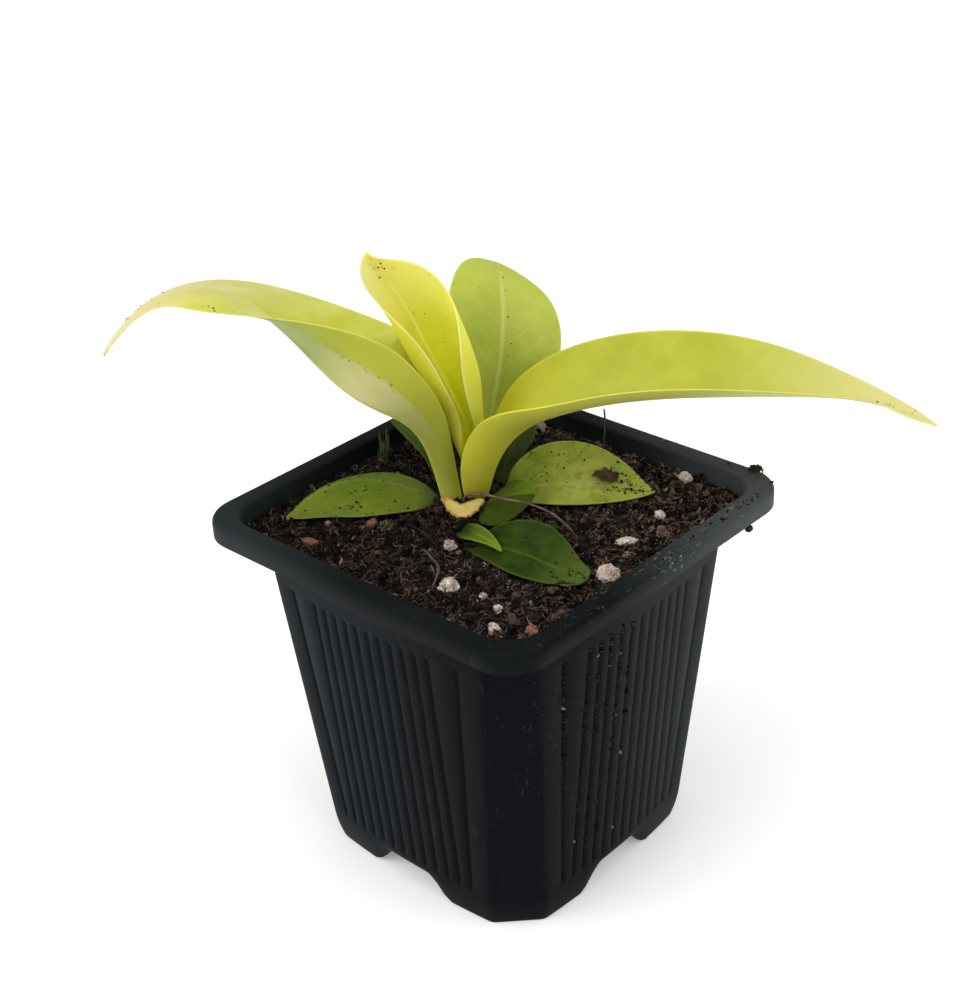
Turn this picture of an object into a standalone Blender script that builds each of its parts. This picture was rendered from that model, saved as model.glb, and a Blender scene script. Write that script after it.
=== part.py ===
"""Potted moonlight philodendron: a young plant in a square nursery pot.

All sizes are in millimetres and become metres when an object is made. The pot
stands with its side walls along X and Y, and every piece is placed from the
point under the middle of the pot. One empty carries them all, and it stands
off the world origin, so that the origin lies under the middle of the whole
plant's bounding box.
"""

import math

import bmesh
import bpy
import numpy as np
from mathutils import Vector, noise

MM = 0.001
POT_PLACE = (4.07, -12.9, 0.0)  # middle of the pot, from the middle of the bounding box
CLEAR = 0.35  # gap kept between pieces that touch

# Pot: a 90 mm square nursery pot with chamfered corners
POT_HEIGHT = 84.2
RIM_HALF = 45.0
RIM_CORNER = 9.0
RIM_SKIRT = 4.6  # depth of the turned-down edge
RIM_WALL = 1.3
RIM_EDGE = 1.3  # width of the rounding along the rim's outer edge
OPENING_HALF = 40.9
OPENING_STEP = 0.6  # the opening narrows by this much below its upper edge
OPENING_CORNER = 8.0
BODY_HALF_TOP = 38.4  # wall distance at the corners of a side
BODY_HALF_FOOT = 31.9
BULGE_TOP = 2.6  # sides are a little convex
BULGE_FOOT = 1.3
CHAMFER_TOP = 7.6
CHAMFER_FOOT = 8.6
POT_WALL = 1.2
FLARE_FOOT = 75.8  # the wall opens out to the rim from here
FLARE_TOP = 78.2
FOOT_INSET = 1.0
FOOT_WALL = 1.2
FOOT_ROUND = 8.0  # height over which the foot curves in
ARCH_HEIGHT = 5.4  # the wave cut under each side
ARCH_END = 0.52  # where it meets the feet, as a share of the half side
ARCH_SLOPE = 0.3
FLOOR_TOP = 7.2
FLOOR_THICK = 1.4
DRAIN_RADIUS = 4.0
DRAIN_OFFSET = 17.0

# Grooves in the pot's sides
GROOVE_COUNT = 11
GROOVE_PITCH = 3.2
GROOVE_HALF = 0.6
GROOVE_DEPTH = 0.5
GROOVE_TOP = 71.5
GROOVE_FOOT = 8.6
GROOVE_FADE = 1.3
LONE_TOP = 23.3  # the single groove towards each corner
LONE_FOOT = 19.0

# Soil
SOIL_TOP = 80.0
SOIL_ROUGHNESS = 0.55
SOIL_ROWS = 15  # rings of points from the edge to the middle
SOIL_LUMP = 7.0  # widths of the two sizes of unevenness
SOIL_CRUMB = 2.6

BLADE = 0.7  # blade thickness
RIB_MOST = 0.5  # most that a midrib adds to it
RIB_START = 0.3  # share of the length where the midrib begins to thicken
NARROW = 2.5  # a half narrower than this towards the tip flattens out
STALK_SUNK = 1.8  # a standing stalk goes on straight down by this much
BLADE_SUNK = 0.8  # a low leaf goes on backwards by this much

# Seats in the soil, as multiples of the clearance
BLADE_SPREAD = 2.5  # sideways, where a low leaf widens quickly
LUMP_SPREAD = 1.6
TUFT_SPREAD = 1.9

LUMP_NOISE = 0.28
STRAND_STEPS = 3  # straight steps between two points of a strand
TUFT_STUB = 1.6  # height of the stub that a tuft's blades rise from

# Points around the pot: along a side and around a corner
SIDE_STEPS = 10
CORNER_STEPS = 4
SIDE_STATIONS = [2.0 * k / SIDE_STEPS - 1.0 for k in range(SIDE_STEPS + 1)]

# Material slots: linear colour and roughness
MATERIALS = {
    "black_plastic": ((0.022, 0.027, 0.031), 0.5),
    "peat_soil": ((0.035, 0.022, 0.014), 0.95),
    "leaf_young": ((0.42, 0.48, 0.05), 0.4),
    "leaf_yellow": ((0.52, 0.55, 0.04), 0.4),
    "leaf_pale": ((0.32, 0.42, 0.08), 0.4),
    "leaf_green": ((0.2, 0.33, 0.05), 0.4),
    "leaf_dark": ((0.06, 0.15, 0.025), 0.45),
    "perlite": ((0.72, 0.66, 0.58), 0.9),
    "bark": ((0.22, 0.1, 0.055), 0.9),
    "root": ((0.16, 0.09, 0.055), 0.8),
    "dry_scale": ((0.6, 0.42, 0.13), 0.7),
    "moss": ((0.1, 0.16, 0.035), 0.8),
}

# Leaves. Every list is the control points of a Bezier curve from stalk to tip:
# the midrib, the direction the upper side faces, and for each half its width,
# fold and curl. "rib" is how much thicker the midrib is than the blade, "mesh"
# the rows along the leaf and the columns of each half, and "stands" tells a
# standing stalk from a leaf that lies on the soil.
LEAVES = {
    "leaf_left": {
        "midrib": [(-13.3, -1.4, 79.5), (-17.2, -4.8, 105.5), (-1.5, -20.3, 114.0),
                   (-12.1, -37.9, 109.3), (-26.1, -21.1, 113.7), (-42.4, -11.5, 127.5),
                   (-65.6, -25.9, 138.9), (-71.6, -43.3, 113.5)],
        "faces": [(0.2, 0.83, 0.03), (0.43, 0.5, 0.49), (-0.67, 0.27, 0.81), (0.06, 0.26, 0.91)],
        "left": ((3.9, 5.3, 11.4, 24.3, 31.2, 20.4, 0.8), (49, 70, 2, 9), (25, 53, -112, -19)),
        "right": ((3.0, 4.6, 5.6, 15.8, 36.5, -6.2, 64.8, -2, 1.7), (20, 45, 123, -47, 20, -6),
                  (69, 79, 155, -144, 70, -4)),
        "rib": 0.5, "mesh": (25, 4), "stands": True, "slot": "leaf_young",
    },
    "leaf_right": {
        "midrib": [(-8.2, 6.1, 79.3), (3.3, -2.7, 89.2), (-4.1, 3.4, 113.6), (12.3, 18.9, 106.8),
                   (37.1, 36.8, 100.9), (47.7, 51.8, 104.5), (46.1, 63.2, 100.0), (64.9, 69.7, 93.4)],
        "faces": [(-0.72, -0.23, -0.34), (0.32, -0.28, -0.04), (0.18, 0.17, 1.15), (-0.22, -0.02, 1.05)],
        "left": ((3.4, 3.9, 13.1, 20.1, 20.9, 11.9, 0.8), (3, 14, 28, 4), (67, 15, 11, -8)),
        "right": ((4.7, 8.2, 17.2, 21.2, 21.2, 12.2, 0.8), (34, 30, 31, 9), (92, 37, 3, -12)),
        "rib": 0.5, "mesh": (25, 4), "stands": True, "slot": "leaf_young",
    },
    "leaf_upright": {
        "midrib": [(-12.9, 6.9, 80.0), (-10.5, 9.0, 98.4), (-15.7, 2.1, 105.7), (-15.5, -2.3, 112.0),
                   (-14.5, -2.4, 120.7), (-19.8, -5.5, 128.5), (-21.5, -11.2, 138.1)],
        "faces": [(0.57, -0.59, -0.02), (0.44, -0.33, 0.54), (0.68, -0.51, 1.07), (-0.17, -0.64, 0.67)],
        "left": ((2.1, 0.1, 31.0, -1.2, 5.6, 46.3, 6.7, 12.9, 1.2), (0, 30, 23, 34),
                 (65, 177, 117, -13, 223, 48, 38)),
        "right": ((1.8, 3.7, 20.4, 28.9, 25.6, 15.2, 1.2), (8, 24, 22, 9), (81, 200, 170, -6)),
        "rib": 0.3, "mesh": (21, 6), "stands": True, "slot": "leaf_yellow",
    },
    "leaf_back": {
        "midrib": [(-12.0, 10.7, 80.0), (-12.7, 11.4, 90.1), (-13.0, 13.8, 97.3), (-10.0, 16.4, 105.2),
                   (-10.4, 19.0, 116.4), (-16.9, 22.3, 125.2), (-24.4, 31.1, 121.8)],
        "faces": [(0.57, -0.7, 0.01), (0.66, -0.7, 0.0), (0.88, -0.33, 0.32), (0.43, -0.1, 0.95)],
        "left": ((1.8, 2.0, 8.6, 15.8, 18.0, 13.7, 2.5), (19, 11, 14, 5), (53, 16, 10, -5)),
        "right": ((1.8, 2.3, 9.7, 16.1, 16.2, 10.6, 2.5), (25, 11, 2, -1), (59, 14, -7, -12)),
        "rib": 0.4, "mesh": (21, 4), "stands": True, "slot": "leaf_pale",
    },
    "leaf_low_left": {
        "midrib": [(-15.7, -1.6, 79.3), (-19.4, -7.0, 83.2), (-29.4, -12.7, 89.0), (-32.8, -21.7, 84.9),
                   (-32.2, -30.3, 81.2)],
        "faces": [(0.15, -0.02, 0.95), (0.02, 0.09, 1.01), (-0.04, -0.07, 0.99)],
        "left": ((1.7, 11.9, 11.9, 9.7, 0.3), (3, -15, -26), (-9, -24, -22)),
        "right": ((1.7, 9.4, 10.6, 8.0, 0.6), (7, -16, -27), (-7, -25, -22)),
        "rib": 0.3, "mesh": (15, 3), "stands": False, "slot": "leaf_green",
    },
    "leaf_low_right": {
        "midrib": [(-4.3, 8.9, 79.3), (0.4, 10.4, 83.4), (7.4, 19.0, 83.7), (17.2, 21.8, 81.7),
                   (21.8, 27.8, 80.9)],
        "faces": [(0.2, -0.15, 0.93), (0.21, -0.29, 0.93), (-0.03, -0.16, 0.94)],
        "left": ((1.6, 11.6, 13.2, 9.6, 0.6), (23, 17, 8), (10, 6, 0)),
        "right": ((1.5, 7.7, 8.7, 4.9, 0.2), (11, 1, 3), (2, -5, -4)),
        "rib": 0.3, "mesh": (15, 3), "stands": False, "slot": "leaf_green",
    },
    "leaf_low_front": {
        "midrib": [(4.3, -12.5, 79.3), (12.7, -10.4, 82.4), (18.1, -8.4, 80.7), (25.6, -11.6, 81.1),
                   (33.5, -9.7, 81.8)],
        "faces": [(-0.03, -0.1, 0.94), (0.14, -0.26, 0.94), (0.1, -0.1, 1.0)],
        "left": ((1.5, 10.4, 10.1, 5.7, 1.9), (12, 16, 1), (8, 13, 1)),
        "right": ((1.5, 8.4, 7.8, 6.6, 2.2), (8, 6, -3), (7, 16, 0)),
        "rib": 0.3, "mesh": (15, 3), "stands": False, "slot": "leaf_green",
    },
    "leaf_small_mid": {
        "midrib": [(-3.6, -0.6, 79.3), (-2.2, 0.7, 82.8), (1.3, 2.0, 84.4), (6.2, 6.1, 84.5)],
        "faces": [(-0.13, -0.05, 1.0), (-0.05, 0.07, 0.98), (0.21, -0.23, 0.95)],
        "left": ((1.5, 7.6, 9.2, 2.0), (3, -11, 8), (-2, -13, 2)),
        "right": ((3.4, 11.4, 8.0, 1.0), (1, -16, -14), (1, -12, -12)),
        "rib": 0.2, "mesh": (9, 3), "stands": False, "slot": "leaf_green",
    },
    "leaf_tiny_front": {
        "midrib": [(-0.7, -9.2, 79.4), (4.6, -12.6, 83.0), (5.7, -9.1, 81.4), (13.6, -13.2, 82.3)],
        "faces": [(0.11, -0.34, 0.93), (0.02, -0.37, 0.88), (-0.07, -0.25, 0.93)],
        "left": ((1.5, 3.1, 1.8, 0.3), (37, 35, 31), (11, 10, 10)),
        "right": ((1.5, 3.5, 1.5, 0.3), (22, 20, 20), (-2, -3, 2)),
        "rib": 0.2, "mesh": (11, 2), "stands": False, "slot": "leaf_green",
    },
    "leaf_dark_left": {
        "midrib": [(-24.1, 7.7, 79.3), (-26.6, 9.3, 83.9), (-30.4, 9.2, 84.5), (-40.0, 9.8, 86.9)],
        "faces": [(0.03, 0.05, 1.0), (0.0, 0.01, 0.99), (-0.04, -0.21, 0.97)],
        "left": ((1.5, 3.2, 2.5, 0.5), (12, 8, -2), (11, 8, -1)),
        "right": ((1.5, 2.5, 3.2, 0.3), (10, 8, 6), (10, 8, 6)),
        "rib": 0.2, "mesh": (11, 2), "stands": False, "slot": "leaf_dark",
    },
    "leaf_dark_right": {
        "midrib": [(-9.0, 12.5, 79.3), (-10.9, 16.5, 85.1), (-12.3, 22.6, 86.0), (-13.3, 29.0, 88.1)],
        "faces": [(0.08, -0.54, 0.99), (0.38, -0.45, 1.0), (0.42, -0.44, 1.0)],
        "left": ((1.5, 4.5, 4.9, 0.5), (5, 10, 5), (6, 10, 5)),
        "right": ((1.5, 4.2, 5.1, 0.6), (19, 11, 5), (17, 11, 5)),
        "rib": 0.2, "mesh": (11, 2), "stands": False, "slot": "leaf_dark",
    },
    "torn_scale": {
        "midrib": [(-10.8, -4.5, 82.2), (-9.0, -4.5, 81.9), (-3.0, -7.6, 80.4), (-3.4, -2.4, 82.2),
                   (-3.0, 0.1, 82.6)],
        "faces": [(0.3, -0.35, 0.9), (0.35, -0.4, 0.8), (0.3, -0.35, 0.9)],
        "left": ((0.5, 2.6, 0.2, 3.4, 0.5), (10, 6, 0), (8, 8, 0)),
        "right": ((0.5, 0.6, 3.9, 0.8, 0.5), (8, 4, 0), (6, 6, 0)),
        "rib": 0.0, "mesh": (7, 2), "stands": False, "slot": "dry_scale",
    },
}

# Loose grains and chips: place, size, turn in degrees, slot
LUMPS = {
    "perlite_0": ((2.3, -16.3, 80.8), (2.6, 2.2, 2.3), (10, 20, 40), "perlite"),
    "perlite_1": ((13.1, -28.3, 81.0), (4.2, 3.6, 3.0), (15, -10, 25), "perlite"),
    "perlite_2": ((20.4, -26.3, 80.6), (1.8, 1.6, 1.4), (0, 20, 70), "perlite"),
    "perlite_3": ((25.7, -28.1, 80.6), (1.8, 1.7, 1.2), (30, 0, 15), "perlite"),
    "perlite_4": ((30.5, -34.3, 80.8), (3.8, 2.3, 2.2), (0, 12, -20), "perlite"),
    "perlite_5": ((35.2, -5.5, 81.2), (4.9, 4.2, 3.4), (12, 8, 60), "perlite"),
    "perlite_6": ((23.2, 37.0, 81.0), (3.1, 2.6, 2.4), (-15, 10, 10), "perlite"),
    "perlite_7": ((28.7, 20.4, 80.8), (2.3, 2.0, 1.9), (0, 25, 35), "perlite"),
    "perlite_8": ((29.7, 7.5, 80.8), (4.4, 1.9, 1.6), (5, -6, 43), "perlite"),
    "bark_0": ((-22.3, -33.2, 80.6), (3.4, 1.9, 1.5), (8, 6, 30), "bark"),
    "bark_1": ((-17.4, -19.6, 80.7), (2.6, 1.9, 1.6), (0, -14, 80), "bark"),
    "bark_2": ((36.0, -29.7, 80.6), (3.6, 2.0, 1.5), (10, 4, -35), "bark"),
    "crumb_leaf": ((13.1, 22.1, 84.5), (4.6, 2.8, 1.3), (22, 9, 42), "peat_soil"),
    "crumb_rim": ((37.2, 43.0, 85.2), (3.0, 1.8, 1.2), (0, 0, 30), "peat_soil"),
    "crumb_under_rim": ((44.2, 30.6, 78.5), (1.6, 1.4, 1.5), (0, 15, 0), "peat_soil"),
}

# Strands: points along the middle, radii from end to end, slot
STRANDS = {
    "root_strand": (
        [(-7.6, -1.6, 79.2), (-6.6, -1.9, 83.0), (-1.7, -1.4, 85.0), (3.8, -0.7, 85.5), (8.6, 1.1, 85.3),
         (13.2, 3.0, 83.8), (17.0, 3.4, 82.0), (20.0, 4.0, 79.3)],
        (0.3, 0.4, 0.35, 0.3), "root",
    ),
    "soil_fibre": (
        [(-2.5, -21.0, 79.4), (0.4, -22.2, 81.8), (4.4, -24.0, 82.2), (8.1, -26.0, 81.9),
         (10.4, -31.2, 79.4)],
        (0.3, 0.35, 0.3), "root",
    ),
    "back_twig": (
        [(-0.6, 38.0, 78.6), (-0.6, 38.4, 82.5), (-0.8, 39.0, 86.5), (-1.2, 39.2, 89.5)],
        (0.4, 0.3, 0.3), "root",
    ),
}

# Tufts: place, tips of the blades from it, foot radius, slot
TUFTS = {
    "moss_tuft": (
        (-37.4, 4.2, 79.4),
        [(1.0, 0.9, 6.0), (0.1, 1.0, 7.6), (-1.3, -0.2, 7.2), (-0.8, -1.3, 4.0)],
        1.0, "moss",
    ),
    "green_sprout": (
        (-13.7, -19.0, 79.8),
        [(1.6, 0.4, 2.6), (-0.6, 1.4, 2.2), (-1.4, -0.8, 2.4)],
        0.9, "moss",
    ),
}

SLOTS = {}


def clear_scene():
    for old in list(bpy.data.objects):
        bpy.data.objects.remove(old, do_unlink=True)


def collection(name):
    group = bpy.data.collections.new(name)
    bpy.context.scene.collection.children.link(group)
    return group


def material(name, colour, roughness):
    """Plain Principled material; colour is linear RGB."""
    mat = bpy.data.materials.new(name)
    mat.use_nodes = True
    shader = mat.node_tree.nodes["Principled BSDF"]
    shader.inputs["Base Color"].default_value = (*colour, 1.0)
    shader.inputs["Roughness"].default_value = roughness
    shader.inputs["Metallic"].default_value = 0.0
    mat.diffuse_color = (*colour, 1.0)
    return mat


def carrier(group):
    """The empty that carries every piece."""
    empty = bpy.data.objects.new("plant_in_pot", None)
    empty.location = Vector(POT_PLACE) * MM
    group.objects.link(empty)
    return empty


def mesh_object(bm, name, sharp_deg=35.0):
    """Object from a bmesh in millimetres."""
    bmesh.ops.recalc_face_normals(bm, faces=bm.faces)
    bmesh.ops.scale(bm, verts=bm.verts, vec=(MM, MM, MM))
    mesh = bpy.data.meshes.new(name)
    bm.to_mesh(mesh)
    bm.free()
    mesh.shade_smooth()
    mesh.set_sharp_from_angle(angle=math.radians(sharp_deg))
    return bpy.data.objects.new(name, mesh)


def place_object(obj, group, slot, place=(0.0, 0.0, 0.0), turn_deg=(0.0, 0.0, 0.0)):
    """Give an object its material, its parent and its place in the pot."""
    obj.data.materials.append(SLOTS[slot])
    obj.parent = bpy.data.objects["plant_in_pot"]
    obj.location = Vector(place) * MM
    obj.rotation_euler = [math.radians(angle) for angle in turn_deg]
    group.objects.link(obj)
    return obj


def as_cutter(obj):
    obj.hide_render = True
    obj.display_type = "WIRE"
    return obj


def cut(obj, cutters):
    for cutter in cutters:
        mod = obj.modifiers.new("cut_" + cutter.name, "BOOLEAN")
        mod.operation = "DIFFERENCE"
        mod.object = cutter


def smoothstep(x):
    x = min(max(x, 0.0), 1.0)
    return x * x * (3.0 - 2.0 * x)


def turn(along, out, quarter):
    """Point on side 0 (facing -Y, running along +X) turned by quarters."""
    x, y = along, -out
    for _ in range(quarter):
        x, y = -y, x
    return x, y


def ring_keys(side_stations):
    """Position of each ring point around the pot, 0 to 4."""
    keys = []
    for quarter in range(4):
        keys += [quarter + 0.4 * (s + 1.0) for s in side_stations]
        keys += [quarter + 0.8 + 0.2 * k / CORNER_STEPS for k in range(1, CORNER_STEPS)]
    return keys


def rim_outline(half, corner):
    """Rounded square, side points then corner points, four times."""
    points = []
    for quarter in range(4):
        flat = half - corner
        for s in SIDE_STATIONS:
            points.append(turn(s * flat, half, quarter))
        for k in range(1, CORNER_STEPS):
            angle = 0.5 * math.pi * k / CORNER_STEPS
            along = flat + corner * math.sin(angle)
            out = flat + corner * math.cos(angle)
            points.append(turn(along, out, quarter))
    return points


def body_sizes(z, inset):
    """Half width, chamfer and bulge of the body at a height."""
    rise = z / POT_HEIGHT
    half = BODY_HALF_FOOT + (BODY_HALF_TOP - BODY_HALF_FOOT) * rise - inset
    chamfer = CHAMFER_FOOT + (CHAMFER_TOP - CHAMFER_FOOT) * rise
    chamfer -= (2.0 - math.sqrt(2.0)) * inset
    bulge = BULGE_FOOT + (BULGE_TOP - BULGE_FOOT) * rise
    return half, chamfer, bulge


def body_outline(z, inset=0.0, stations=None, sink=None):
    """Chamfered square with convex sides; sink lowers the side points."""
    stations = stations or SIDE_STATIONS
    half, chamfer, bulge = body_sizes(z, inset)
    flat = half - chamfer
    points = []
    for quarter in range(4):
        for k, s in enumerate(stations):
            out = half + bulge * (1.0 - s * s) - (sink[k] if sink else 0.0)
            points.append(turn(s * flat, out, quarter))
        for k in range(1, CORNER_STEPS):
            part = k / CORNER_STEPS
            points.append(turn(flat + chamfer * part, half - chamfer * part, quarter))
    return points


def add_ring(bm, points, heights):
    if not hasattr(heights, "__len__"):
        heights = [heights] * len(points)
    return [bm.verts.new((x, y, z)) for (x, y), z in zip(points, heights)]


def zip_rings(bm, lower, lower_keys, upper, upper_keys):
    """Triangles between two closed rings, matched by their keys."""
    i = j = 0
    n, m = len(lower), len(upper)
    while i < n or j < m:
        next_i = lower_keys[i + 1] if i + 1 < n else 4.0 + lower_keys[0]
        next_j = upper_keys[j + 1] if j + 1 < m else 4.0 + upper_keys[0]
        a, b = lower[i % n], upper[j % m]
        if j >= m or (i < n and next_i <= next_j):
            bm.faces.new((a, lower[(i + 1) % n], b))
            i += 1
        else:
            bm.faces.new((a, upper[(j + 1) % m], b))
            j += 1


def loft(bm, rings, keys):
    for lower, upper in zip(rings, rings[1:]):
        zip_rings(bm, lower, keys, upper, keys)


def arch_rise(s):
    """Height of the pot's lower edge along a side, 0 at the feet."""
    return ARCH_HEIGHT * smoothstep((ARCH_END - abs(s)) / ARCH_SLOPE)


def groove_stations(z):
    """Side positions of the groove edges and bottoms, with their depths."""
    half, chamfer, _ = body_sizes(z, 0.0)
    flat = half - chamfer
    rise = (z - GROOVE_FOOT) / (GROOVE_TOP - GROOVE_FOOT)
    lone = LONE_FOOT + (LONE_TOP - LONE_FOOT) * rise
    group = [(k - GROOVE_COUNT // 2) * GROOVE_PITCH for k in range(GROOVE_COUNT)]
    stations, depths = [-1.0], [0.0]
    for centre in [-lone] + group + [lone]:
        for step, depth in ((-GROOVE_HALF, 0.0), (0.0, GROOVE_DEPTH), (GROOVE_HALF, 0.0)):
            stations.append((centre + step) / flat)
            depths.append(depth)
    return stations + [1.0], depths + [0.0]


def drain_cutters(group):
    places = [(0.0, 0.0)] + [(sx * DRAIN_OFFSET, sy * DRAIN_OFFSET) for sx in (-1, 1) for sy in (-1, 1)]
    cutters = []
    for k, (x, y) in enumerate(places):
        bm = bmesh.new()
        bmesh.ops.create_cone(bm, cap_ends=True, segments=16, radius1=DRAIN_RADIUS,
                              radius2=DRAIN_RADIUS, depth=4.0 * FLOOR_THICK)
        bmesh.ops.translate(bm, verts=bm.verts, vec=(x, y, FLOOR_TOP - 0.5 * FLOOR_THICK))
        drain = place_object(mesh_object(bm, "drain_%d" % k), group, "black_plastic")
        cutters.append(as_cutter(drain))
    return cutters


def build_pot(parts, cutters):
    """One shell: foot, grooved body, rim, inner wall and floor."""
    bm = bmesh.new()
    coarse = ring_keys(SIDE_STATIONS)
    flat_corner = [0.0] * (CORNER_STEPS - 1)
    arch = ([arch_rise(s) for s in SIDE_STATIONS] + flat_corner) * 4

    def foot_ring(level):
        """Outer ring between the arched edge (0) and the plain body (1)."""
        inset = FOOT_INSET * (1.0 - level) ** 2
        heights = [a + (FOOT_ROUND - a) * level for a in arch]
        return add_ring(bm, body_outline(FOOT_ROUND * level, inset), heights)

    under = FLOOR_TOP - FLOOR_THICK
    start = add_ring(bm, body_outline(under, POT_WALL + 0.5), under)
    inner_edge = add_ring(bm, body_outline(0.0, FOOT_INSET + FOOT_WALL), arch)
    foot = [foot_ring(level) for level in (0.0, 0.3, 0.65, 1.0)]
    loft(bm, [start, inner_edge] + foot, coarse)
    bm.faces.new(start)

    # Grooved band, with its ends faded out
    levels = (
        (GROOVE_FOOT, 0.0),
        (GROOVE_FOOT + GROOVE_FADE, 1.0),
        (GROOVE_TOP - GROOVE_FADE, 1.0),
        (GROOVE_TOP, 0.0),
    )
    band, band_keys = [], []
    for z, strength in levels:
        stations, depths = groove_stations(z)
        sink = [strength * d for d in depths]
        band.append(add_ring(bm, body_outline(z, 0.0, stations, sink), z))
        band_keys.append(ring_keys(stations))
    zip_rings(bm, foot[-1], coarse, band[0], band_keys[0])
    for k in range(len(band) - 1):
        zip_rings(bm, band[k], band_keys[k], band[k + 1], band_keys[k])

    # Rim and inside
    lip_under = POT_HEIGHT - RIM_WALL
    skirt_foot = POT_HEIGHT - RIM_SKIRT
    inner_corner = RIM_CORNER - RIM_WALL
    rounding = 0.3 * RIM_EDGE
    opening = OPENING_HALF - OPENING_STEP
    neck = add_ring(bm, body_outline(FLARE_FOOT), FLARE_FOOT)
    zip_rings(bm, band[-1], band_keys[-1], neck, coarse)
    rim = [
        neck,
        add_ring(bm, rim_outline(OPENING_HALF + POT_WALL, RIM_CORNER), FLARE_TOP),
        add_ring(bm, rim_outline(OPENING_HALF + POT_WALL, RIM_CORNER), lip_under),
        add_ring(bm, rim_outline(RIM_HALF - RIM_WALL, inner_corner), lip_under),
        add_ring(bm, rim_outline(RIM_HALF - RIM_WALL, inner_corner), skirt_foot),
        add_ring(bm, rim_outline(RIM_HALF, RIM_CORNER), skirt_foot),
        add_ring(bm, rim_outline(RIM_HALF, RIM_CORNER), POT_HEIGHT - RIM_EDGE),
        add_ring(bm, rim_outline(RIM_HALF - rounding, RIM_CORNER - rounding), POT_HEIGHT - rounding),
        add_ring(bm, rim_outline(RIM_HALF - RIM_EDGE, inner_corner), POT_HEIGHT),
        add_ring(bm, rim_outline(OPENING_HALF, OPENING_CORNER), POT_HEIGHT),
        add_ring(bm, rim_outline(opening, OPENING_CORNER), POT_HEIGHT - OPENING_STEP),
        add_ring(bm, rim_outline(opening, OPENING_CORNER), FLARE_TOP + OPENING_STEP),
        add_ring(bm, body_outline(FLARE_FOOT + 1.0, POT_WALL), FLARE_FOOT + 1.0),
        add_ring(bm, body_outline(FLOOR_TOP, POT_WALL), FLOOR_TOP),
    ]
    loft(bm, rim, coarse)
    bm.faces.new(rim[-1])
    pot = place_object(mesh_object(bm, "pot"), parts, "black_plastic")
    cut(pot, drain_cutters(cutters))


def soil_height(x, y):
    """Crumbly surface from smooth noise at two sizes."""
    coarse = noise.noise(Vector((x, y, 0.0)) / SOIL_LUMP)
    fine = noise.noise(Vector((x, y, 40.0)) / SOIL_CRUMB)
    return SOIL_TOP + SOIL_ROUGHNESS * (coarse + 0.8 * fine)


def build_soil(parts):
    """Block of soil that fills the pot: flat underneath, crumbly on top."""
    bm = bmesh.new()
    keys = ring_keys(SIDE_STATIONS)
    inset = POT_WALL + CLEAR
    foot_z = FLOOR_TOP + CLEAR
    neck_z = FLARE_FOOT + 1.45
    edge_z = FLARE_TOP + 1.3
    edge_half = OPENING_HALF - OPENING_STEP - CLEAR
    foot = add_ring(bm, body_outline(foot_z, inset), foot_z)
    neck = add_ring(bm, body_outline(neck_z, inset), neck_z)
    edge = add_ring(bm, rim_outline(edge_half, OPENING_CORNER), edge_z)
    outline = rim_outline(edge_half - 0.5, OPENING_CORNER)
    rings = [foot, neck, edge]
    for row in range(SOIL_ROWS):
        scale = 1.0 - row / SOIL_ROWS
        points = [(x * scale, y * scale) for x, y in outline]
        heights = [max(soil_height(x, y), edge_z + 0.15) for x, y in points]
        rings.append(add_ring(bm, points, heights))
    loft(bm, rings, keys)
    bm.faces.new(foot)
    centre = bm.verts.new((0.0, 0.0, soil_height(0.0, 0.0)))
    last = rings[-1]
    for k, vert in enumerate(last):
        bm.faces.new((vert, last[(k + 1) % len(last)], centre))
    return place_object(mesh_object(bm, "soil"), parts, "peat_soil")


def bezier(controls, t):
    """Bezier curve through a list of control values, at parameters t."""
    controls = np.asarray(controls, dtype=float)
    degree = len(controls) - 1
    total = 0.0
    for k, value in enumerate(controls):
        weight = math.comb(degree, k) * t**k * (1.0 - t) ** (degree - k)
        total = total + (weight[:, None] * value if controls.ndim > 1 else weight * value)
    return total


def unit(rows):
    return rows / np.linalg.norm(rows, axis=-1, keepdims=True)


def leaf_grid(leaf, grow=0.0):
    """Mid surface of a leaf: rows along it, columns from its left to right margin.

    Each half is an arc across the leaf. It leaves the midrib at the fold angle
    and turns by the curl angle on its way to the margin. One more row, sunk in
    the soil, comes before the first.
    """
    rows, half_columns = leaf["mesh"]
    t = np.linspace(0.0, 1.0, rows)
    spine = bezier(leaf["midrib"], t)
    ahead = unit(bezier(np.diff(leaf["midrib"], axis=0), t))
    face = bezier(leaf["faces"], t)
    face = unit(face - (face * ahead).sum(axis=1, keepdims=True) * ahead)
    side = np.cross(ahead, face)
    u = np.linspace(0.0, 1.0, half_columns + 1)
    wider = grow * (1.0 if leaf["stands"] else BLADE_SPREAD)
    halves = []
    for hand, sign in (("left", -1.0), ("right", 1.0)):
        width, fold, curl = leaf[hand]
        width = np.maximum(bezier(width, t), 0.3)
        flatter = np.radians(np.where(t < 0.5, 1.0, np.minimum(width / NARROW, 1.0)))
        start = (flatter * bezier(fold, t))[:, None]
        angle = start + (flatter * bezier(curl, t))[:, None] * u
        between = 0.5 * (angle[:, 1:] + angle[:, :-1])
        run = np.cumsum(np.cos(between), axis=1) / half_columns
        rise = np.cumsum(np.sin(between), axis=1) / half_columns
        out = sign * run[..., None] * side[:, None] + rise[..., None] * face[:, None]
        halves.append(spine[:, None] + (width + wider)[:, None, None] * out)
    grid = np.concatenate([halves[0][:, ::-1], spine[:, None], halves[1]], axis=1)
    if leaf["stands"]:
        sunk = np.array([0.0, 0.0, -STALK_SUNK - grow])
    else:
        sunk = -(BLADE_SUNK + grow) * ahead[0]
    return np.concatenate([grid[:1] + sunk, grid])


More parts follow.
